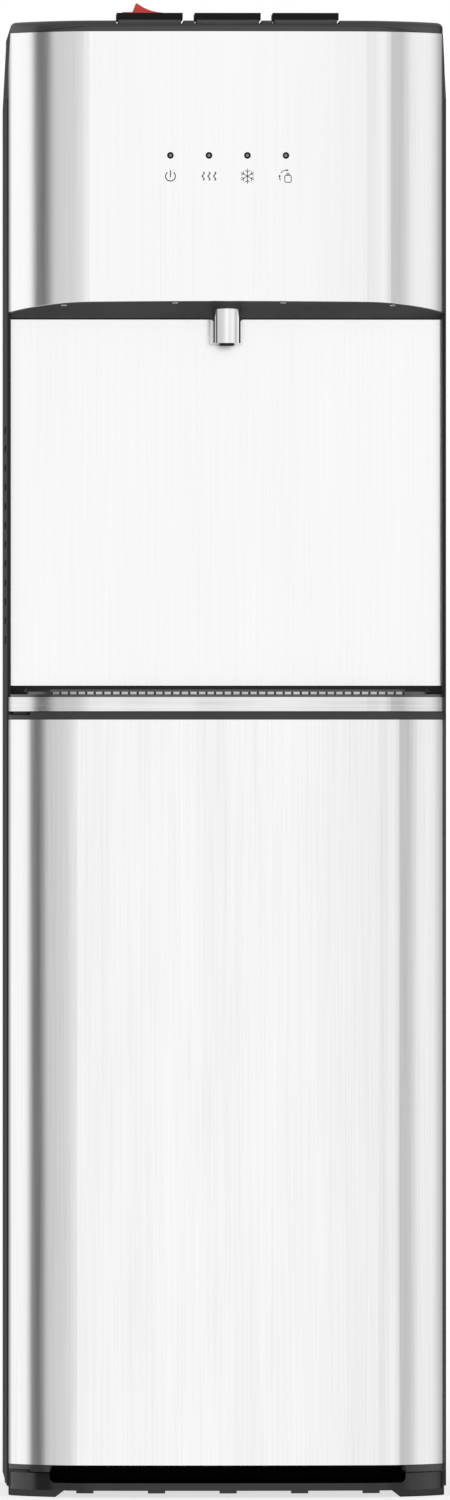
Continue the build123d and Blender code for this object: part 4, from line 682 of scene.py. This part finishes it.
@dataclass(frozen=True)
class Palette:
    """Finishes of the whole cooler."""

    steel: Finish = BrushedSteel("upright_brushed_steel", (0.99, 0.99, 0.987), 0.18)
    door_steel: Finish = BrushedSteel(
        "coarse_brushed_steel", (0.995, 0.995, 0.992), 0.18, shadow=(0.78, 0.78, 0.778)
    )
    strip: Finish = BrushedSteel(
        "cross_brushed_steel",
        (0.94, 0.94, 0.935),
        0.22,
        shadow=(0.6, 0.6, 0.6),
        grain=Grain.ROUND,
        lines=1100.0,
        streaks=420.0,
        contrast=3.6,
    )
    black: Finish = MouldedPlastic("moulded_black", (0.016, 0.016, 0.0165), 0.46)
    ledge: Finish = MouldedPlastic("ledge_black", (0.014, 0.014, 0.0145), 0.3, specular=0.8, coat=1.0)
    # Painted shade: the kick recess behind the plinth's front is painted near black.
    plinth: Finish = MouldedPlastic(
        "plinth_black", (0.011, 0.011, 0.0113), 0.36, specular=0.03, coat=0.9, painted_shade_box=(0.2, -0.118)
    )
    # Painted shade: the middle of the cap's web, inside the kick recess, is painted near black.
    cap: Finish = MouldedPlastic(
        "cap_black", (0.03, 0.03, 0.0305), 0.4, specular=0.03, coat=0.9, painted_shade_box=(0.1245, -0.5)
    )
    edge: Finish = MouldedPlastic("grey_black", (0.03, 0.03, 0.0305), 0.4, specular=0.4)
    matt: Finish = MouldedPlastic("matt_black", (0.009, 0.009, 0.0095), 0.6, specular=0.12)
    cover: Finish = MouldedPlastic("cover_black", (0.022, 0.022, 0.0225), 0.4, specular=0.5, coat=0.5)
    # Painted light: the paddles' chins are painted a lighter grey.
    paddle: Finish = MouldedPlastic(
        "paddle_black", (0.008, 0.008, 0.0083), 0.36, specular=0.1, painted_light_chin=(1.0326, 0.085)
    )
    rocker: Finish = MouldedPlastic("satin_black", (0.014, 0.014, 0.0145), 0.36, specular=0.35)
    white: Finish = MouldedPlastic("moulded_white", (0.76, 0.76, 0.73), 0.4, specular=0.5)
    red: Finish = MouldedPlastic(
        "gloss_red", (0.63, 0.022, 0.02), 0.24, specular=0.45, grain=400.0, depth=0.02, coat=0.3
    )
    lens: Finish = MouldedPlastic(
        "smoked_lens", (0.2, 0.2, 0.203), 0.2, specular=0.4, grain=300.0, depth=0.01, coat=0.3
    )
    paint: Finish = PowderCoat("black_powder_coat", (0.018, 0.018, 0.019), 0.46)
    gloss_paint: Finish = PowderCoat(
        "black_gloss_paint", (0.014, 0.014, 0.015), 0.28, specular=0.45, peel=160.0
    )
    wire_paint: Finish = PowderCoat(
        "condenser_paint", (0.02, 0.02, 0.02), 0.38, specular=0.4, peel=900.0, depth=0.03
    )
    zinc: Finish = ZincSheet("spangled_zinc", (0.62, 0.63, 0.64), 0.36)
    satin: Finish = DrawnMetal("satin_steel", (0.72, 0.72, 0.71), 0.28, tarnish=(0.5, 0.49, 0.47))
    bar_steel: Finish = DrawnMetal(
        "bar_steel", (0.72, 0.72, 0.71), 0.3, tarnish=(0.5, 0.5, 0.5), grain=Grain.UPRIGHT
    )
    plated: Finish = DrawnMetal(
        "plated_screw", (0.66, 0.66, 0.65), 0.26, tarnish=(0.4, 0.4, 0.39), cover=0.4
    )
    copper: Finish = DrawnMetal(
        "drawn_copper", (0.76, 0.43, 0.28), 0.27, tarnish=(0.34, 0.17, 0.1), cover=0.6
    )
    aluminium: Finish = DrawnMetal(
        "rolled_aluminium",
        (0.76, 0.77, 0.78),
        0.34,
        tarnish=(0.55, 0.56, 0.57),
        cover=0.4,
        grain=Grain.UPRIGHT,
    )
    chrome: Finish = PolishedChrome("polished_chrome", (0.965, 0.965, 0.965), 0.05)
    rubber: Finish = Rubber("black_rubber", (0.02, 0.02, 0.02), 0.74)
    magnet: Finish = Rubber(
        "magnet_strip", (0.04, 0.04, 0.042), 0.6, bloom=(0.08, 0.08, 0.08), grain=500.0
    )
    silicone: Finish = Rubber(
        "milky_silicone", (0.7, 0.7, 0.67), 0.42, bloom=(0.8, 0.79, 0.74), grain=300.0
    )
    foam: Finish = CellFoam("rigid_foam", (0.82, 0.74, 0.52), 0.8)
    board: Finish = SolderMask("solder_mask", (0.02, 0.13, 0.05), 0.32)
    ink: Finish = Print("grey_ink", (0.014, 0.014, 0.015), 0.6, thin=(0.035, 0.035, 0.036))
    pale_ink: Finish = Print("white_ink", (0.7, 0.7, 0.69), 0.5, thin=(0.55, 0.55, 0.54))


def in_scene(name: str, data: bpy.types.ID) -> bpy.types.Object:
    """Put a mesh, a lamp or a camera into the scene.

    Args:
        name: Name of the object.
        data: What the object holds.

    Returns:
        Object at the origin.
    """
    item = bpy.data.objects.new(name, data)
    bpy.context.scene.collection.objects.link(item)
    return item


def mesh_object(name: str, mesh: BMesh, material: bpy.types.Material) -> bpy.types.Object:
    """Turn a mesh under construction into an object in the scene.

    Args:
        name: Name of the object and of its mesh.
        mesh: Mesh in metres, which is freed.
        material: Material of all its faces.

    Returns:
        Object at the origin.
    """
    data = bpy.data.meshes.new(name)
    mesh.to_mesh(data)
    mesh.free()
    data.materials.append(material)
    return in_scene(name, data)


def surface_point(nodes: Sequence[str], start: Spot, way: Spot) -> tuple[Vector, Vector]:
    """First point where a ray meets one of some CAD nodes.

    Args:
        nodes: Names of the nodes.
        start: Start of the ray in metres.
        way: Direction of the ray.

    Returns:
        Point and face normal.
    """
    origin = Vector(start)
    casts = [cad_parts[name].ray_cast(origin, Vector(way)) for name in nodes]
    found = [(spot, normal) for hit, spot, normal, _ in casts if hit]
    if not found:
        raise ValueError(f"no surface of {nodes} at {start}")
    return min(found, key=lambda pair: (pair[0] - origin).length)


class Sight(Enum):
    """Side that strokes are seen from, with its direction of view along Y."""

    FRONT = 1.0
    BACK = -1.0


@dataclass
class Stencil:
    """Flat strokes drawn in the XZ plane, in millimetres about an origin of their own."""

    mesh: BMesh = field(default_factory=bmesh.new)

    def _pen(self, origin: Point, way: Vector, near: float, far: float) -> BMEdge:
        """Pen edge along a direction, between two distances from a point."""
        ends = [Vector(origin) + way * reach for reach in (near, far)]
        return self.mesh.edges.new([self.mesh.verts.new((end.x, 0.0, end.y)) for end in ends])

    def arc(self, centre: Point, radius: float, width: float, start: float, sweep: float, steps: int) -> None:
        """Sweep a radial pen edge round a centre.

        Args:
            centre: Middle of the arc.
            radius: Radius at the middle of the stroke.
            width: Width of the stroke.
            start: First angle in degrees, from +X towards +Z.
            sweep: Angle swept in degrees.
            steps: Number of faces along the arc.
        """
        way = Vector((math.cos(math.radians(start)), math.sin(math.radians(start))))
        pen = self._pen(centre, way, radius - width / 2, radius + width / 2)
        bmesh.ops.spin(
            self.mesh,
            geom=[pen, *pen.verts],
            cent=(centre[0], 0.0, centre[1]),
            axis=(0.0, -1.0, 0.0),
            angle=math.radians(sweep),
            steps=steps,
            use_merge=abs(sweep) >= 360.0,
        )

    def line(self, points: Sequence[Point], width: float, level: bool = False) -> None:
        """Pull a pen edge along points.

        Args:
            points: Points that the middle of the stroke passes.
            width: Width of the pen edge.
            level: Keep the pen edge level; otherwise it stands across the first run.
        """
        run = Vector(points[1]) - Vector(points[0])
        across = Vector((1.0, 0.0)) if level else Vector((-run.y, run.x)).normalized()
        pen = self._pen(points[0], across, -width / 2, width / 2)
        for before, after in zip(points, points[1:]):
            pen = pick(bmesh.ops.extrude_edge_only(self.mesh, edges=[pen])["geom"], BMEdge)[0]
            step = (after[0] - before[0], 0.0, after[1] - before[1])
            bmesh.ops.translate(self.mesh, verts=list(pen.verts), vec=step)

    def outline(self, centre: Point, size: Point, corner: float, width: float) -> None:
        """Rectangle with round corners, drawn as a line.

        Args:
            centre: Middle of the rectangle.
            size: Outer width and height.
            corner: Outer corner radius.
            width: Width of the line.
        """
        half = Matrix.Diagonal((size[0] / 2, size[1] / 2, 1.0, 1.0))
        turn = Matrix.Rotation(math.radians(90.0), 4, "X")
        place = Matrix.Translation((centre[0], 0.0, centre[1])) @ turn @ half
        made = bmesh.ops.create_grid(self.mesh, x_segments=1, y_segments=1, size=1.0, matrix=place)["verts"]
        rounded = bmesh.ops.bevel(
            self.mesh,
            geom=made,
            offset=corner,
            segments=CORNER_STEPS,
            profile=0.5,
            affect="VERTICES",
            material=-1,
        )
        sheet = max(rounded["verts"][0].link_faces, key=lambda face: face.calc_area())
        bmesh.ops.inset_region(
            self.mesh,
            faces=[sheet],
            thickness=width,
            use_boundary=True,
            use_even_offset=True,
        )
        bmesh.ops.delete(self.mesh, geom=[sheet], context="FACES")

    def arrow(self, tip: Point, heading: float, size: float) -> None:
        """Solid arrow head with three equal sides.

        Args:
            tip: Point of the head.
            heading: Direction in degrees from +X towards +Z.
            size: Length of the head.
        """
        turn = math.radians(heading)
        radius = size * 2 / 3
        middle = Vector(tip) - Vector((math.cos(turn), math.sin(turn))) * radius
        face = Matrix.Rotation(math.radians(90.0), 4, "X") @ Matrix.Rotation(math.radians(-90.0), 4, "Z")
        place = Matrix.Translation((middle.x, 0.0, middle.y)) @ Matrix.Rotation(-turn, 4, "Y") @ face
        bmesh.ops.create_circle(self.mesh, cap_ends=True, segments=3, radius=radius, matrix=place)

    def copies(self, count: int) -> None:
        """Repeat everything drawn so far evenly round the origin."""
        bmesh.ops.spin(
            self.mesh,
            geom=[*self.mesh.verts, *self.mesh.edges, *self.mesh.faces],
            cent=(0.0, 0.0, 0.0),
            axis=(0.0, -1.0, 0.0),
            angle=math.radians(360.0 - 360.0 / count),
            steps=count - 1,
            use_duplicate=True,
        )

    def place(self, x: float, z: float) -> Stencil:
        """Move the strokes from their own origin to a place on the part."""
        bmesh.ops.translate(self.mesh, verts=list(self.mesh.verts), vec=(x, 0.0, z))
        return self

    def lay_on(self, node: str, sight: Sight) -> BMesh:
        """Drape the strokes on a CAD node and give them the thickness of ink.

        Args:
            node: CAD node that carries the strokes.
            sight: Side that they are seen from.

        Returns:
            Mesh in metres, in the part's frame.
        """
        mesh = self.mesh
        way = sight.value
        bmesh.ops.scale(mesh, verts=list(mesh.verts), vec=(MM, MM, MM))
        for vert in mesh.verts:
            spot = surface_point([node], (vert.co.x, -way, vert.co.z), (0.0, way, 0.0))[0]
            vert.co.y = spot.y - way * INK_LIFT * MM
        grown = bmesh.ops.extrude_face_region(mesh, geom=list(mesh.faces))["geom"]
        bmesh.ops.translate(mesh, verts=pick(grown, BMVert), vec=(0.0, -way * INK_THICKNESS * MM, 0.0))
        return mesh


@dataclass(frozen=True)
class ScrewHead:
    """Domed screw head with a cross recess.

    The rim, the dome's fall and the arms of the cross are shares of the radius and the height.
    """

    radius: float = 3.4
    height: float = 1.9
    recess: float = 1.1
    rim: float = 0.9
    fall: float = 0.55
    arm_reach: float = 0.5
    arm_half: float = 0.1
    sink: float = 0.05
    squares: int = 5

    def add(self, mesh: BMesh, spot: Vector, normal: Vector) -> None:
        """Add one head to a mesh.

        Args:
            mesh: Mesh in metres.
            spot: Seat of the head.
            normal: Direction that the head faces.
        """
        grid = {"x_segments": self.squares, "y_segments": self.squares, "size": self.radius}
        made = bmesh.ops.create_grid(mesh, **grid)["verts"]
        faces = unique(face for vert in made for face in vert.link_faces)
        for vert in made:
            if max(abs(vert.co.x), abs(vert.co.y)) > self.rim * self.radius:
                vert.co *= self.radius / vert.co.length
            vert.co.z = self.height * (1.0 - self.fall * (vert.co.xy.length / self.radius) ** 2)
        cross = []
        for face in faces:
            middle = face.calc_center_median()
            narrow, wide = sorted((abs(middle.x), abs(middle.y)))
            if wide < self.arm_reach * self.radius and narrow < self.arm_half * self.radius:
                cross.append(face)
        rim = [edge for edge in unique(edge for face in faces for edge in face.edges) if edge.is_boundary]
        cross += unique(edge for face in cross for edge in face.edges)
        low = pick(bmesh.ops.extrude_face_region(mesh, geom=cross)["geom"], BMVert)
        bmesh.ops.translate(mesh, verts=low, vec=(0.0, 0.0, -self.recess))
        skirt = bmesh.ops.extrude_edge_only(mesh, edges=rim)["geom"]
        foot = pick(skirt, BMVert)
        for vert in foot:
            vert.co.z = -self.sink
        loop = [edge for edge in pick(skirt, BMEdge) if set(edge.verts) <= set(foot)]
        bmesh.ops.edgeloop_fill(mesh, edges=loop)
        turn = Vector((0.0, 0.0, 1.0)).rotation_difference(normal).to_matrix().to_4x4()
        place = Matrix.Translation(spot) @ turn @ Matrix.Diagonal((MM, MM, MM, 1.0))
        bmesh.ops.transform(mesh, matrix=place, verts=[*made, *low, *foot])


@dataclass
class SubAssembly:
    """A group of CAD nodes, the pieces added to them, and their finishes."""

    palette: Palette

    def build(self) -> None:
        """Make the pieces that the frame lacks; a group without any keeps this."""

    def dress(self) -> None:
        """Give the group's CAD nodes their finishes."""
        raise NotImplementedError

    def coat(self, finish: Finish, *nodes: str) -> None:
        """Put a finish on CAD nodes.

        Args:
            finish: Finish to use.
            nodes: Names of the nodes.
        """
        material = finish.material()
        for name in nodes:
            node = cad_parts[name]
            if not node.material_slots:
                node.data.materials.append(material)
            for slot in node.material_slots:
                slot.material = material
            LOG.info("%s: %s", name, finish.name)

    def piece(self, name: str, mesh: BMesh, finish: Finish, body: str, slot: str) -> None:
        """Turn a mesh into a piece that rides on a body, with its faces pointing outwards.

        Args:
            name: Name of the piece.
            mesh: Mesh in metres, in the part's frame.
            finish: Finish of the piece.
            body: CAD body that carries it.
            slot: Material slot of the record that it belongs to; not used.
        """
        bmesh.ops.recalc_face_normals(mesh, faces=list(mesh.faces))
        item = mesh_object(name, mesh, finish.material())
        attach(item, body)
        LOG.info("%s: new piece on %s, %s", name, body, finish.name)

    def screws(self, name: str, head: ScrewHead, node: str, starts: Sequence[Spot], way: Spot) -> None:
        """Seat screw heads where rays meet a CAD node of the cabinet.

        Args:
            name: Name of the piece.
            head: Shape of a head.
            node: CAD node that carries the heads.
            starts: Start of each ray in millimetres.
            way: Direction of the rays.
        """
        mesh = bmesh.new()
        for x, y, z in starts:
            spot, normal = surface_point([node], (x * MM, y * MM, z * MM), way)
            head.add(mesh, spot, normal)
        self.piece(name, mesh, self.palette.plated, "cabinet", "plain_steel")


@dataclass(frozen=True)
class Softbox:
    """Large soft lamp that looks at the part: its place and width in metres, and its power."""

    name: str
    place: Spot
    size: float
    watts: float


@dataclass
class Studio:
    """Floor, lights, white surroundings and the camera of the photograph, in metres and degrees.

    The sensor's width is in millimetres. The surroundings are greys by direction, from the front towards -X.
    """

    target: Spot = (-0.0018, -0.16, 0.5221)
    azimuth: float = -1.25
    distance: float = 14.0
    frame_height: float = 1.0489
    sensor: float = 36.0
    clip_end: float = 100.0
    floor_half: float = 3.0
    floor_colour: Colour = (0.9, 0.9, 0.9)
    floor_cloud: float = 1.5
    floor_dark: float = 0.985
    floor_roughness: float = 0.7
    floor_white: float = 0.7
    floor_fade: Point = (0.7, 2.6)
    ambient: float = 0.66
    ceiling: float = 0.5
    ceiling_gain: float = 2.2
    ceiling_start: float = 0.3
    lamps: tuple[Softbox, ...] = (
        Softbox("key_softbox", (-1.6, -2.4, 2.3), size=2.0, watts=34.0),
        Softbox("fill_softbox", (2.2, -1.8, 1.4), size=1.8, watts=14.0),
        Softbox("rear_softbox", (0.6, 2.8, 2.2), size=2.0, watts=26.0),
    )
    surround: tuple[Point, ...] = (
        (-180.0, 0.5),
        (-165.0, 0.12),
        (-140.0, 0.02),
        (-121.0, 0.12),
        (-115.0, 0.68),
        (-104.0, 0.92),
        (-84.0, 0.91),
        (-78.0, 0.72),
        (-72.0, 0.55),
        (-66.0, 0.56),
        (-60.0, 0.72),
        (-46.0, 0.96),
        (-30.0, 0.89),
        (-12.0, 0.84),
        (-7.0, 1.0),
        (7.0, 1.0),
        (9.0, 0.94),
        (15.0, 0.85),
        (24.0, 0.75),
        (40.0, 0.67),
        (70.0, 0.65),
        (76.0, 0.15),
        (88.0, 0.13),
        (94.0, 1.0),
        (118.0, 1.0),
        (132.0, 0.68),
        (145.0, 0.4),
        (166.0, 0.18),
        (180.0, 0.03),
    )

    def build(self) -> None:
        """Set up everything round the part."""
        bpy.context.scene.view_settings.view_transform = "Standard"
        self._camera()
        self._floor()
        self._lamps()
        self._world()

    @staticmethod
    def _stand(name: str, data: bpy.types.ID, place: Vector, sight: Vector) -> bpy.types.Object:
        """Put a camera or a lamp into the scene.

        Args:
            name: Name of the object.
            data: Camera or lamp.
            place: Where it stands.
            sight: Direction in which it looks.

        Returns:
            Object in its place.
        """
        item = in_scene(name, data)
        item.location = place
        item.rotation_euler = sight.to_track_quat("-Z", "Y").to_euler()
        return item

    def _camera(self) -> None:
        """Camera at the photograph's distance and angle."""
        turn = math.radians(self.azimuth)
        away = Vector((math.sin(turn), -math.cos(turn), 0.0)) * self.distance
        data = bpy.data.cameras.new("photo_camera")
        data.sensor_width = self.sensor
        data.lens = self.sensor * self.distance / self.frame_height
        data.clip_end = self.clip_end
        bpy.context.scene.camera = self._stand("photo_camera", data, Vector(self.target) + away, -away)

    def _floor(self) -> None:
        """Pale floor that keeps the part's shadow and fades to white towards its rim."""
        material = bpy.data.materials.new("pale_floor")
        material.use_nodes = True
        bench = Bench(material.node_tree)
        cloud = bench.noise(self.floor_cloud, detail=2.0)
        tone = bench.blend(cloud, rgba(self.floor_colour, self.floor_dark), rgba(self.floor_colour))
        sockets = {"Base Color": tone, "Roughness": self.floor_roughness}
        matt = bench.node("ShaderNodeBsdfPrincipled", sockets=sockets)
        glow = bench.node("ShaderNodeEmission", sockets={"Color": grey(1.0), "Strength": 1.0})
        place = {0: bench.coords()}
        reach = bench.node("ShaderNodeVectorMath", {"operation": "LENGTH"}, place, "Value")
        near, far = self.floor_fade
        white = ((reach - near) / (far - near)).clamp() * (1.0 - self.floor_white) + self.floor_white
        seen = bench.node("ShaderNodeLightPath", out="Is Camera Ray") * white
        shader = bench.node("ShaderNodeMixShader", sockets={0: seen, 1: matt, 2: glow})
        bench.node("ShaderNodeOutputMaterial", sockets={"Surface": shader})
        mesh = bmesh.new()
        bmesh.ops.create_grid(mesh, x_segments=1, y_segments=1, size=self.floor_half)
        floor = mesh_object("studio_floor", mesh, material)
        floor.visible_glossy = False

    def _lamps(self) -> None:
        """Large soft lamps that shape the dark surfaces."""
        for box in self.lamps:
            data = bpy.data.lights.new(box.name, "AREA")
            data.size = box.size
            data.energy = box.watts
            place = Vector(box.place)
            lamp = self._stand(box.name, data, place, Vector(self.target) - place)
            lamp.visible_glossy = False

    def _world(self) -> None:
        """White surroundings, with the grey and dark panels that bright metal shows."""
        world = bpy.data.worlds.new("white_studio")
        world.use_nodes = True
        bpy.context.scene.world = world
        bench = Bench(world.node_tree)
        way = bench.node("ShaderNodeTexCoord", out="Generated")
        x, y, z = (bench.node("ShaderNodeSeparateXYZ", sockets={0: way}, out=axis) for axis in "XYZ")
        turn = bench.math("ARCTAN2", -x, -y) / math.tau + 0.5
        stops = [(0.5 + angle / 360.0, level) for angle, level in self.surround]
        panels = bench.node("ShaderNodeValToRGB", {"stops": stops}, {"Fac": turn})
        high = (z * self.ceiling_gain - self.ceiling_start).clamp()
        mirrored = bench.blend(high, panels, grey(self.ceiling))
        rays = {name: bench.node("ShaderNodeLightPath", out=f"Is {name} Ray") for name in RAY_KINDS}
        bright = (rays["Glossy"] + rays["Transmission"]).clamp()
        lit = bench.blend(bright, grey(self.ambient), mirrored)
        seen = bench.blend(rays["Camera"], lit, grey(1.0))
        shader = bench.node("ShaderNodeBackground", sockets={"Color": seen, "Strength": 1.0})
        bench.node("ShaderNodeOutputWorld", sockets={"Surface": shader})


@dataclass
class Cabinet(SubAssembly):
    """Plinth, floor and outer panels."""

    screw: ScrewHead = ScrewHead()
    rear_columns: tuple[float, ...] = (-143.0, 143.0)
    rear_rows: tuple[float, ...] = (120.0, 330.0, 540.0, 750.0, 955.0)
    rear_start: float = 300.0

    def build(self) -> None:
        """Screw heads down both edges of the rear panel."""
        starts = [(x, self.rear_start, z) for x in self.rear_columns for z in self.rear_rows]
        self.screws("rear_panel_screws", self.screw, "rear_panel", starts, (0.0, -1.0, 0.0))

    def dress(self) -> None:
        """Finishes of the outer panels and the base."""
        self.coat(self.palette.plinth, "base_plinth")
        self.coat(self.palette.matt, "bottle_floor")
        self.coat(self.palette.rubber, "foot_pads")
        self.coat(self.palette.paint, "left_side_panel", "right_side_panel", "rear_panel")


class Sign(Enum):
    """Signs printed under the indicators, with the indicator that each belongs to."""

    POWER = 0
    HEAT = 1
    COLD = 2
    BOTTLE = 3


class SignPen(Stencil):
    """Stencil that draws the signs."""

    def draw(self, sign: Sign) -> Stencil:
        """Draw one sign about its own origin.

        Args:
            sign: Sign to draw.

        Returns:
            This stencil.
        """
        ways = {
            Sign.POWER: self._power,
            Sign.HEAT: self._heat,
            Sign.COLD: self._cold,
            Sign.BOTTLE: self._bottle,
        }
        ways[sign]()
        return self

    def _power(self) -> None:
        """Open ring with a bar in its gap."""
        self.arc((0.0, 0.0), radius=3.4, width=0.7, start=128.0, sweep=284.0, steps=28)
        self.line(((0.0, 4.3), (0.0, -0.8)), width=0.7)

    def _heat(self) -> None:
        """Three rising waves of one and a half turns."""
        top = 3.1
        drop = 0.658
        sway = 0.65
        turns = [step * math.pi / 6 for step in range(19)]
        for x in (-4.0, 0.0, 4.0):
            wave = [(x + sway * math.sin(turn), top - drop * turn) for turn in turns]
            self.line(wave, width=0.9, level=True)

    def _cold(self) -> None:
        """Snow crystal of six arms with two barbs each."""
        self.line(((0.0, -0.1), (0.0, 5.3)), width=0.5)
        for side in (-1.0, 1.0):
            self.line(((0.0, 2.9), (side * 1.6, 4.2)), width=0.45)
        self.copies(6)

    def _bottle(self) -> None:
        """Bottle with two arrows that turn about it."""
        centre = (0.4, -0.6)
        self.outline((1.5, -1.8), size=(5.0, 5.4), corner=1.2, width=0.55)
        self.outline((1.5, 1.55), size=(2.0, 1.7), corner=0.4, width=0.5)
        self.arc(centre, radius=4.8, width=0.55, start=84.0, sweep=60.0, steps=10)
        self.arrow((1.9, 3.95), heading=-14.0, size=1.5)
        self.arc(centre, radius=4.8, width=0.55, start=170.0, sweep=40.0, steps=8)
        self.arrow((-4.25, 1.2), heading=84.0, size=1.5)


@dataclass
class Hood(SubAssembly):
    """Steel hood with its indicators, spout and underside."""

    lamp_x: tuple[float, ...] = (-40.3, -13.43, 13.43, 40.3)
    lamp_z: float = 937.3
    sign_z: float = 922.8
    bezel_outer: float = 2.5
    bezel_inner: float = 1.0
    bezel_rise: float = 0.35
    bezel_sink: float = 0.1
    bezel_shoulder: Point = (0.8, 0.7)
    bezel_steps: int = 32
    screw: ScrewHead = ScrewHead(radius=2.1, height=1.3, recess=0.6)
    screw_spots: tuple[Point, ...] = ((-114.5, -164.0), (-37.0, -175.0), (38.5, -175.0), (115.4, -164.0))
    screw_start: float = 700.0

    def build(self) -> None:
        """Signs, bezel rings and screw heads under the front edge."""
        for sign in Sign:
            pen = SignPen().draw(sign).place(self.lamp_x[sign.value], self.sign_z)
            mesh = pen.lay_on("hood_skin", Sight.FRONT)
            self.piece(f"sign_{sign.name.lower()}", mesh, self.palette.ink, "cabinet", "black_plastic")
        self._bezels()
        starts = [(x, y, self.screw_start) for x, y in self.screw_spots]
        self.screws("underside_screws", self.screw, "hood_underside", starts, (0.0, 0.0, 1.0))

    def _bezels(self) -> None:
        """Half-round rings about the indicator lenses, spun round each lens axis."""
        mesh = bmesh.new()
        middle = (self.bezel_outer + self.bezel_inner) / 2
        half = (self.bezel_outer - self.bezel_inner) / 2
        wide, tall = self.bezel_shoulder
        profile = (
            (middle - half, self.bezel_sink),
            (middle - wide * half, -tall * self.bezel_rise),
            (middle, -self.bezel_rise),
            (middle + wide * half, -tall * self.bezel_rise),
            (middle + half, self.bezel_sink),
        )
        for x in self.lamp_x:
            start = (x * MM, -1.0, self.lamp_z * MM)
            seat = surface_point(["hood_skin", "indicator_lenses"], start, (0.0, 1.0, 0.0))[0]
            verts = [mesh.verts.new((x + r, seat.y / MM + y, self.lamp_z)) for r, y in profile]
            edges = [mesh.edges.new(pair) for pair in zip(verts, verts[1:] + verts[:1])]
            bmesh.ops.spin(
                mesh,
                geom=verts + edges,
                cent=(x, seat.y / MM, self.lamp_z),
                axis=(0.0, 1.0, 0.0),
                angle=math.tau,
                steps=self.bezel_steps,
                use_merge=True,
            )
        bmesh.ops.scale(mesh, verts=list(mesh.verts), vec=(MM, MM, MM))
        self.piece("indicator_bezels", mesh, self.palette.matt, "cabinet", "black_plastic")

    def dress(self) -> None:
        """Finishes of the hood and what it carries."""
        self.coat(self.palette.steel, "hood_skin")
        self.coat(self.palette.black, "hood_carrier", "spout_nozzle")
        self.coat(self.palette.matt, "hood_underside")
        self.coat(self.palette.chrome, "spout")
        self.coat(self.palette.lens, "indicator_lenses")
        self.coat(self.palette.board, "control_board")
        self.coat(self.palette.white, "outlet_manifold", "tap_valves")
        self.coat(self.palette.silicone, "outlet_hoses")


@dataclass
class Crown(SubAssembly):
    """Top cover, paddles and the child lock."""

    def dress(self) -> None:
        """Finishes of the top."""
        self.coat(self.palette.cover, "top_cover")
        self.coat(self.palette.paddle, "hot_paddle", "room_paddle", "cold_paddle")
        self.coat(self.palette.red, "child_lock")
        self.coat(self.palette.satin, "paddle_shaft")


@dataclass
class Ledge(SubAssembly):
    """Alcove and the ledge with its tray and grille."""

    def dress(self) -> None:
        """Finishes of the alcove and the ledge."""
        self.coat(self.palette.black, "alcove_liner", "drip_tray")
        self.coat(self.palette.ledge, "drip_ledge")
        self.coat(self.palette.steel, "recess_panel")
        self.coat(self.palette.strip, "ledge_trim")
        self.coat(self.palette.bar_steel, "drip_grille")


@dataclass
class Door(SubAssembly):
    """Bottle door and its hinges."""

    def dress(self) -> None:
        """Finishes of the door."""
        self.coat(self.palette.door_steel, "door_skin")
        self.coat(self.palette.black, "door_liner")
        self.coat(self.palette.edge, "door_top_cap")
        self.coat(self.palette.cap, "door_bottom_cap")
        self.coat(self.palette.magnet, "door_magnet")
        self.coat(self.palette.paint, "upper_hinge", "lower_hinge")


@dataclass
class Machine(SubAssembly):
    """Tanks, pump and cooling machine."""

    def dress(self) -> None:
        """Finishes of the machine."""
        self.coat(self.palette.zinc, "machine_deck", "tank_bracket")
        self.coat(self.palette.satin, "cold_tank", "hot_tank", "drain_pipe")
        self.coat(self.palette.aluminium, "evaporator_jacket")
        self.coat(self.palette.foam, "foam_jacket", "foam_lid")
        self.coat(self.palette.gloss_paint, "compressor")
        self.coat(self.palette.rubber, "compressor_mounts")
        self.coat(self.palette.copper, "filter_drier", "refrigerant_lines")
        self.coat(self.palette.white, "water_pump", "probe")
        self.coat(self.palette.silicone, "feed_hoses", "probe_hose")


@dataclass
class Rear(SubAssembly):
    """Condenser, switches and fittings at the back."""

    rockers: tuple[str, ...] = ("heat_rocker", "cool_rocker", "light_rocker")
    mark_offset: float = 5.4
    bar_half: float = 1.9
    bar_width: float = 0.8
    ring_radius: float = 1.7
    ring_width: float = 0.7
    ring_steps: int = 24

    def build(self) -> None:
        """On and off marks on each rocker."""
        for name in self.rockers:
            low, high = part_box(name)
            middle = (low + high) / (2 * MM)
            bar = [(0.0, self.mark_offset + end) for end in (self.bar_half, -self.bar_half)]
            pen = Stencil()
            pen.line(bar, self.bar_width)
            pen.arc((0.0, -self.mark_offset), self.ring_radius, self.ring_width, 0.0, 360.0, self.ring_steps)
            mesh = pen.place(middle.x, middle.z).lay_on(name, Sight.BACK)
            self.piece(f"{name}_marks", mesh, self.palette.pale_ink, name, "white_plastic")

    def dress(self) -> None:
        """Finishes of the back."""
        self.coat(self.palette.wire_paint, "condenser_coil", "condenser_wires")
        self.coat(self.palette.black, "wall_spacers", "switch_housing", "cord_gland", "drain_cap")
        self.coat(self.palette.rocker, *self.rockers)


def main() -> None:
    """Build and dress the cooler, group by group."""
    logging.basicConfig(level=logging.INFO, format="%(name)s: %(message)s")
    bpy.context.view_layer.update()
    Studio().build()
    palette = Palette()
    for kind in (Cabinet, Hood, Crown, Ledge, Door, Machine, Rear):
        group = kind(palette)
        group.build()
        group.dress()
        LOG.info("%s is done", kind.__name__)


if __name__ == "__main__":
    main()
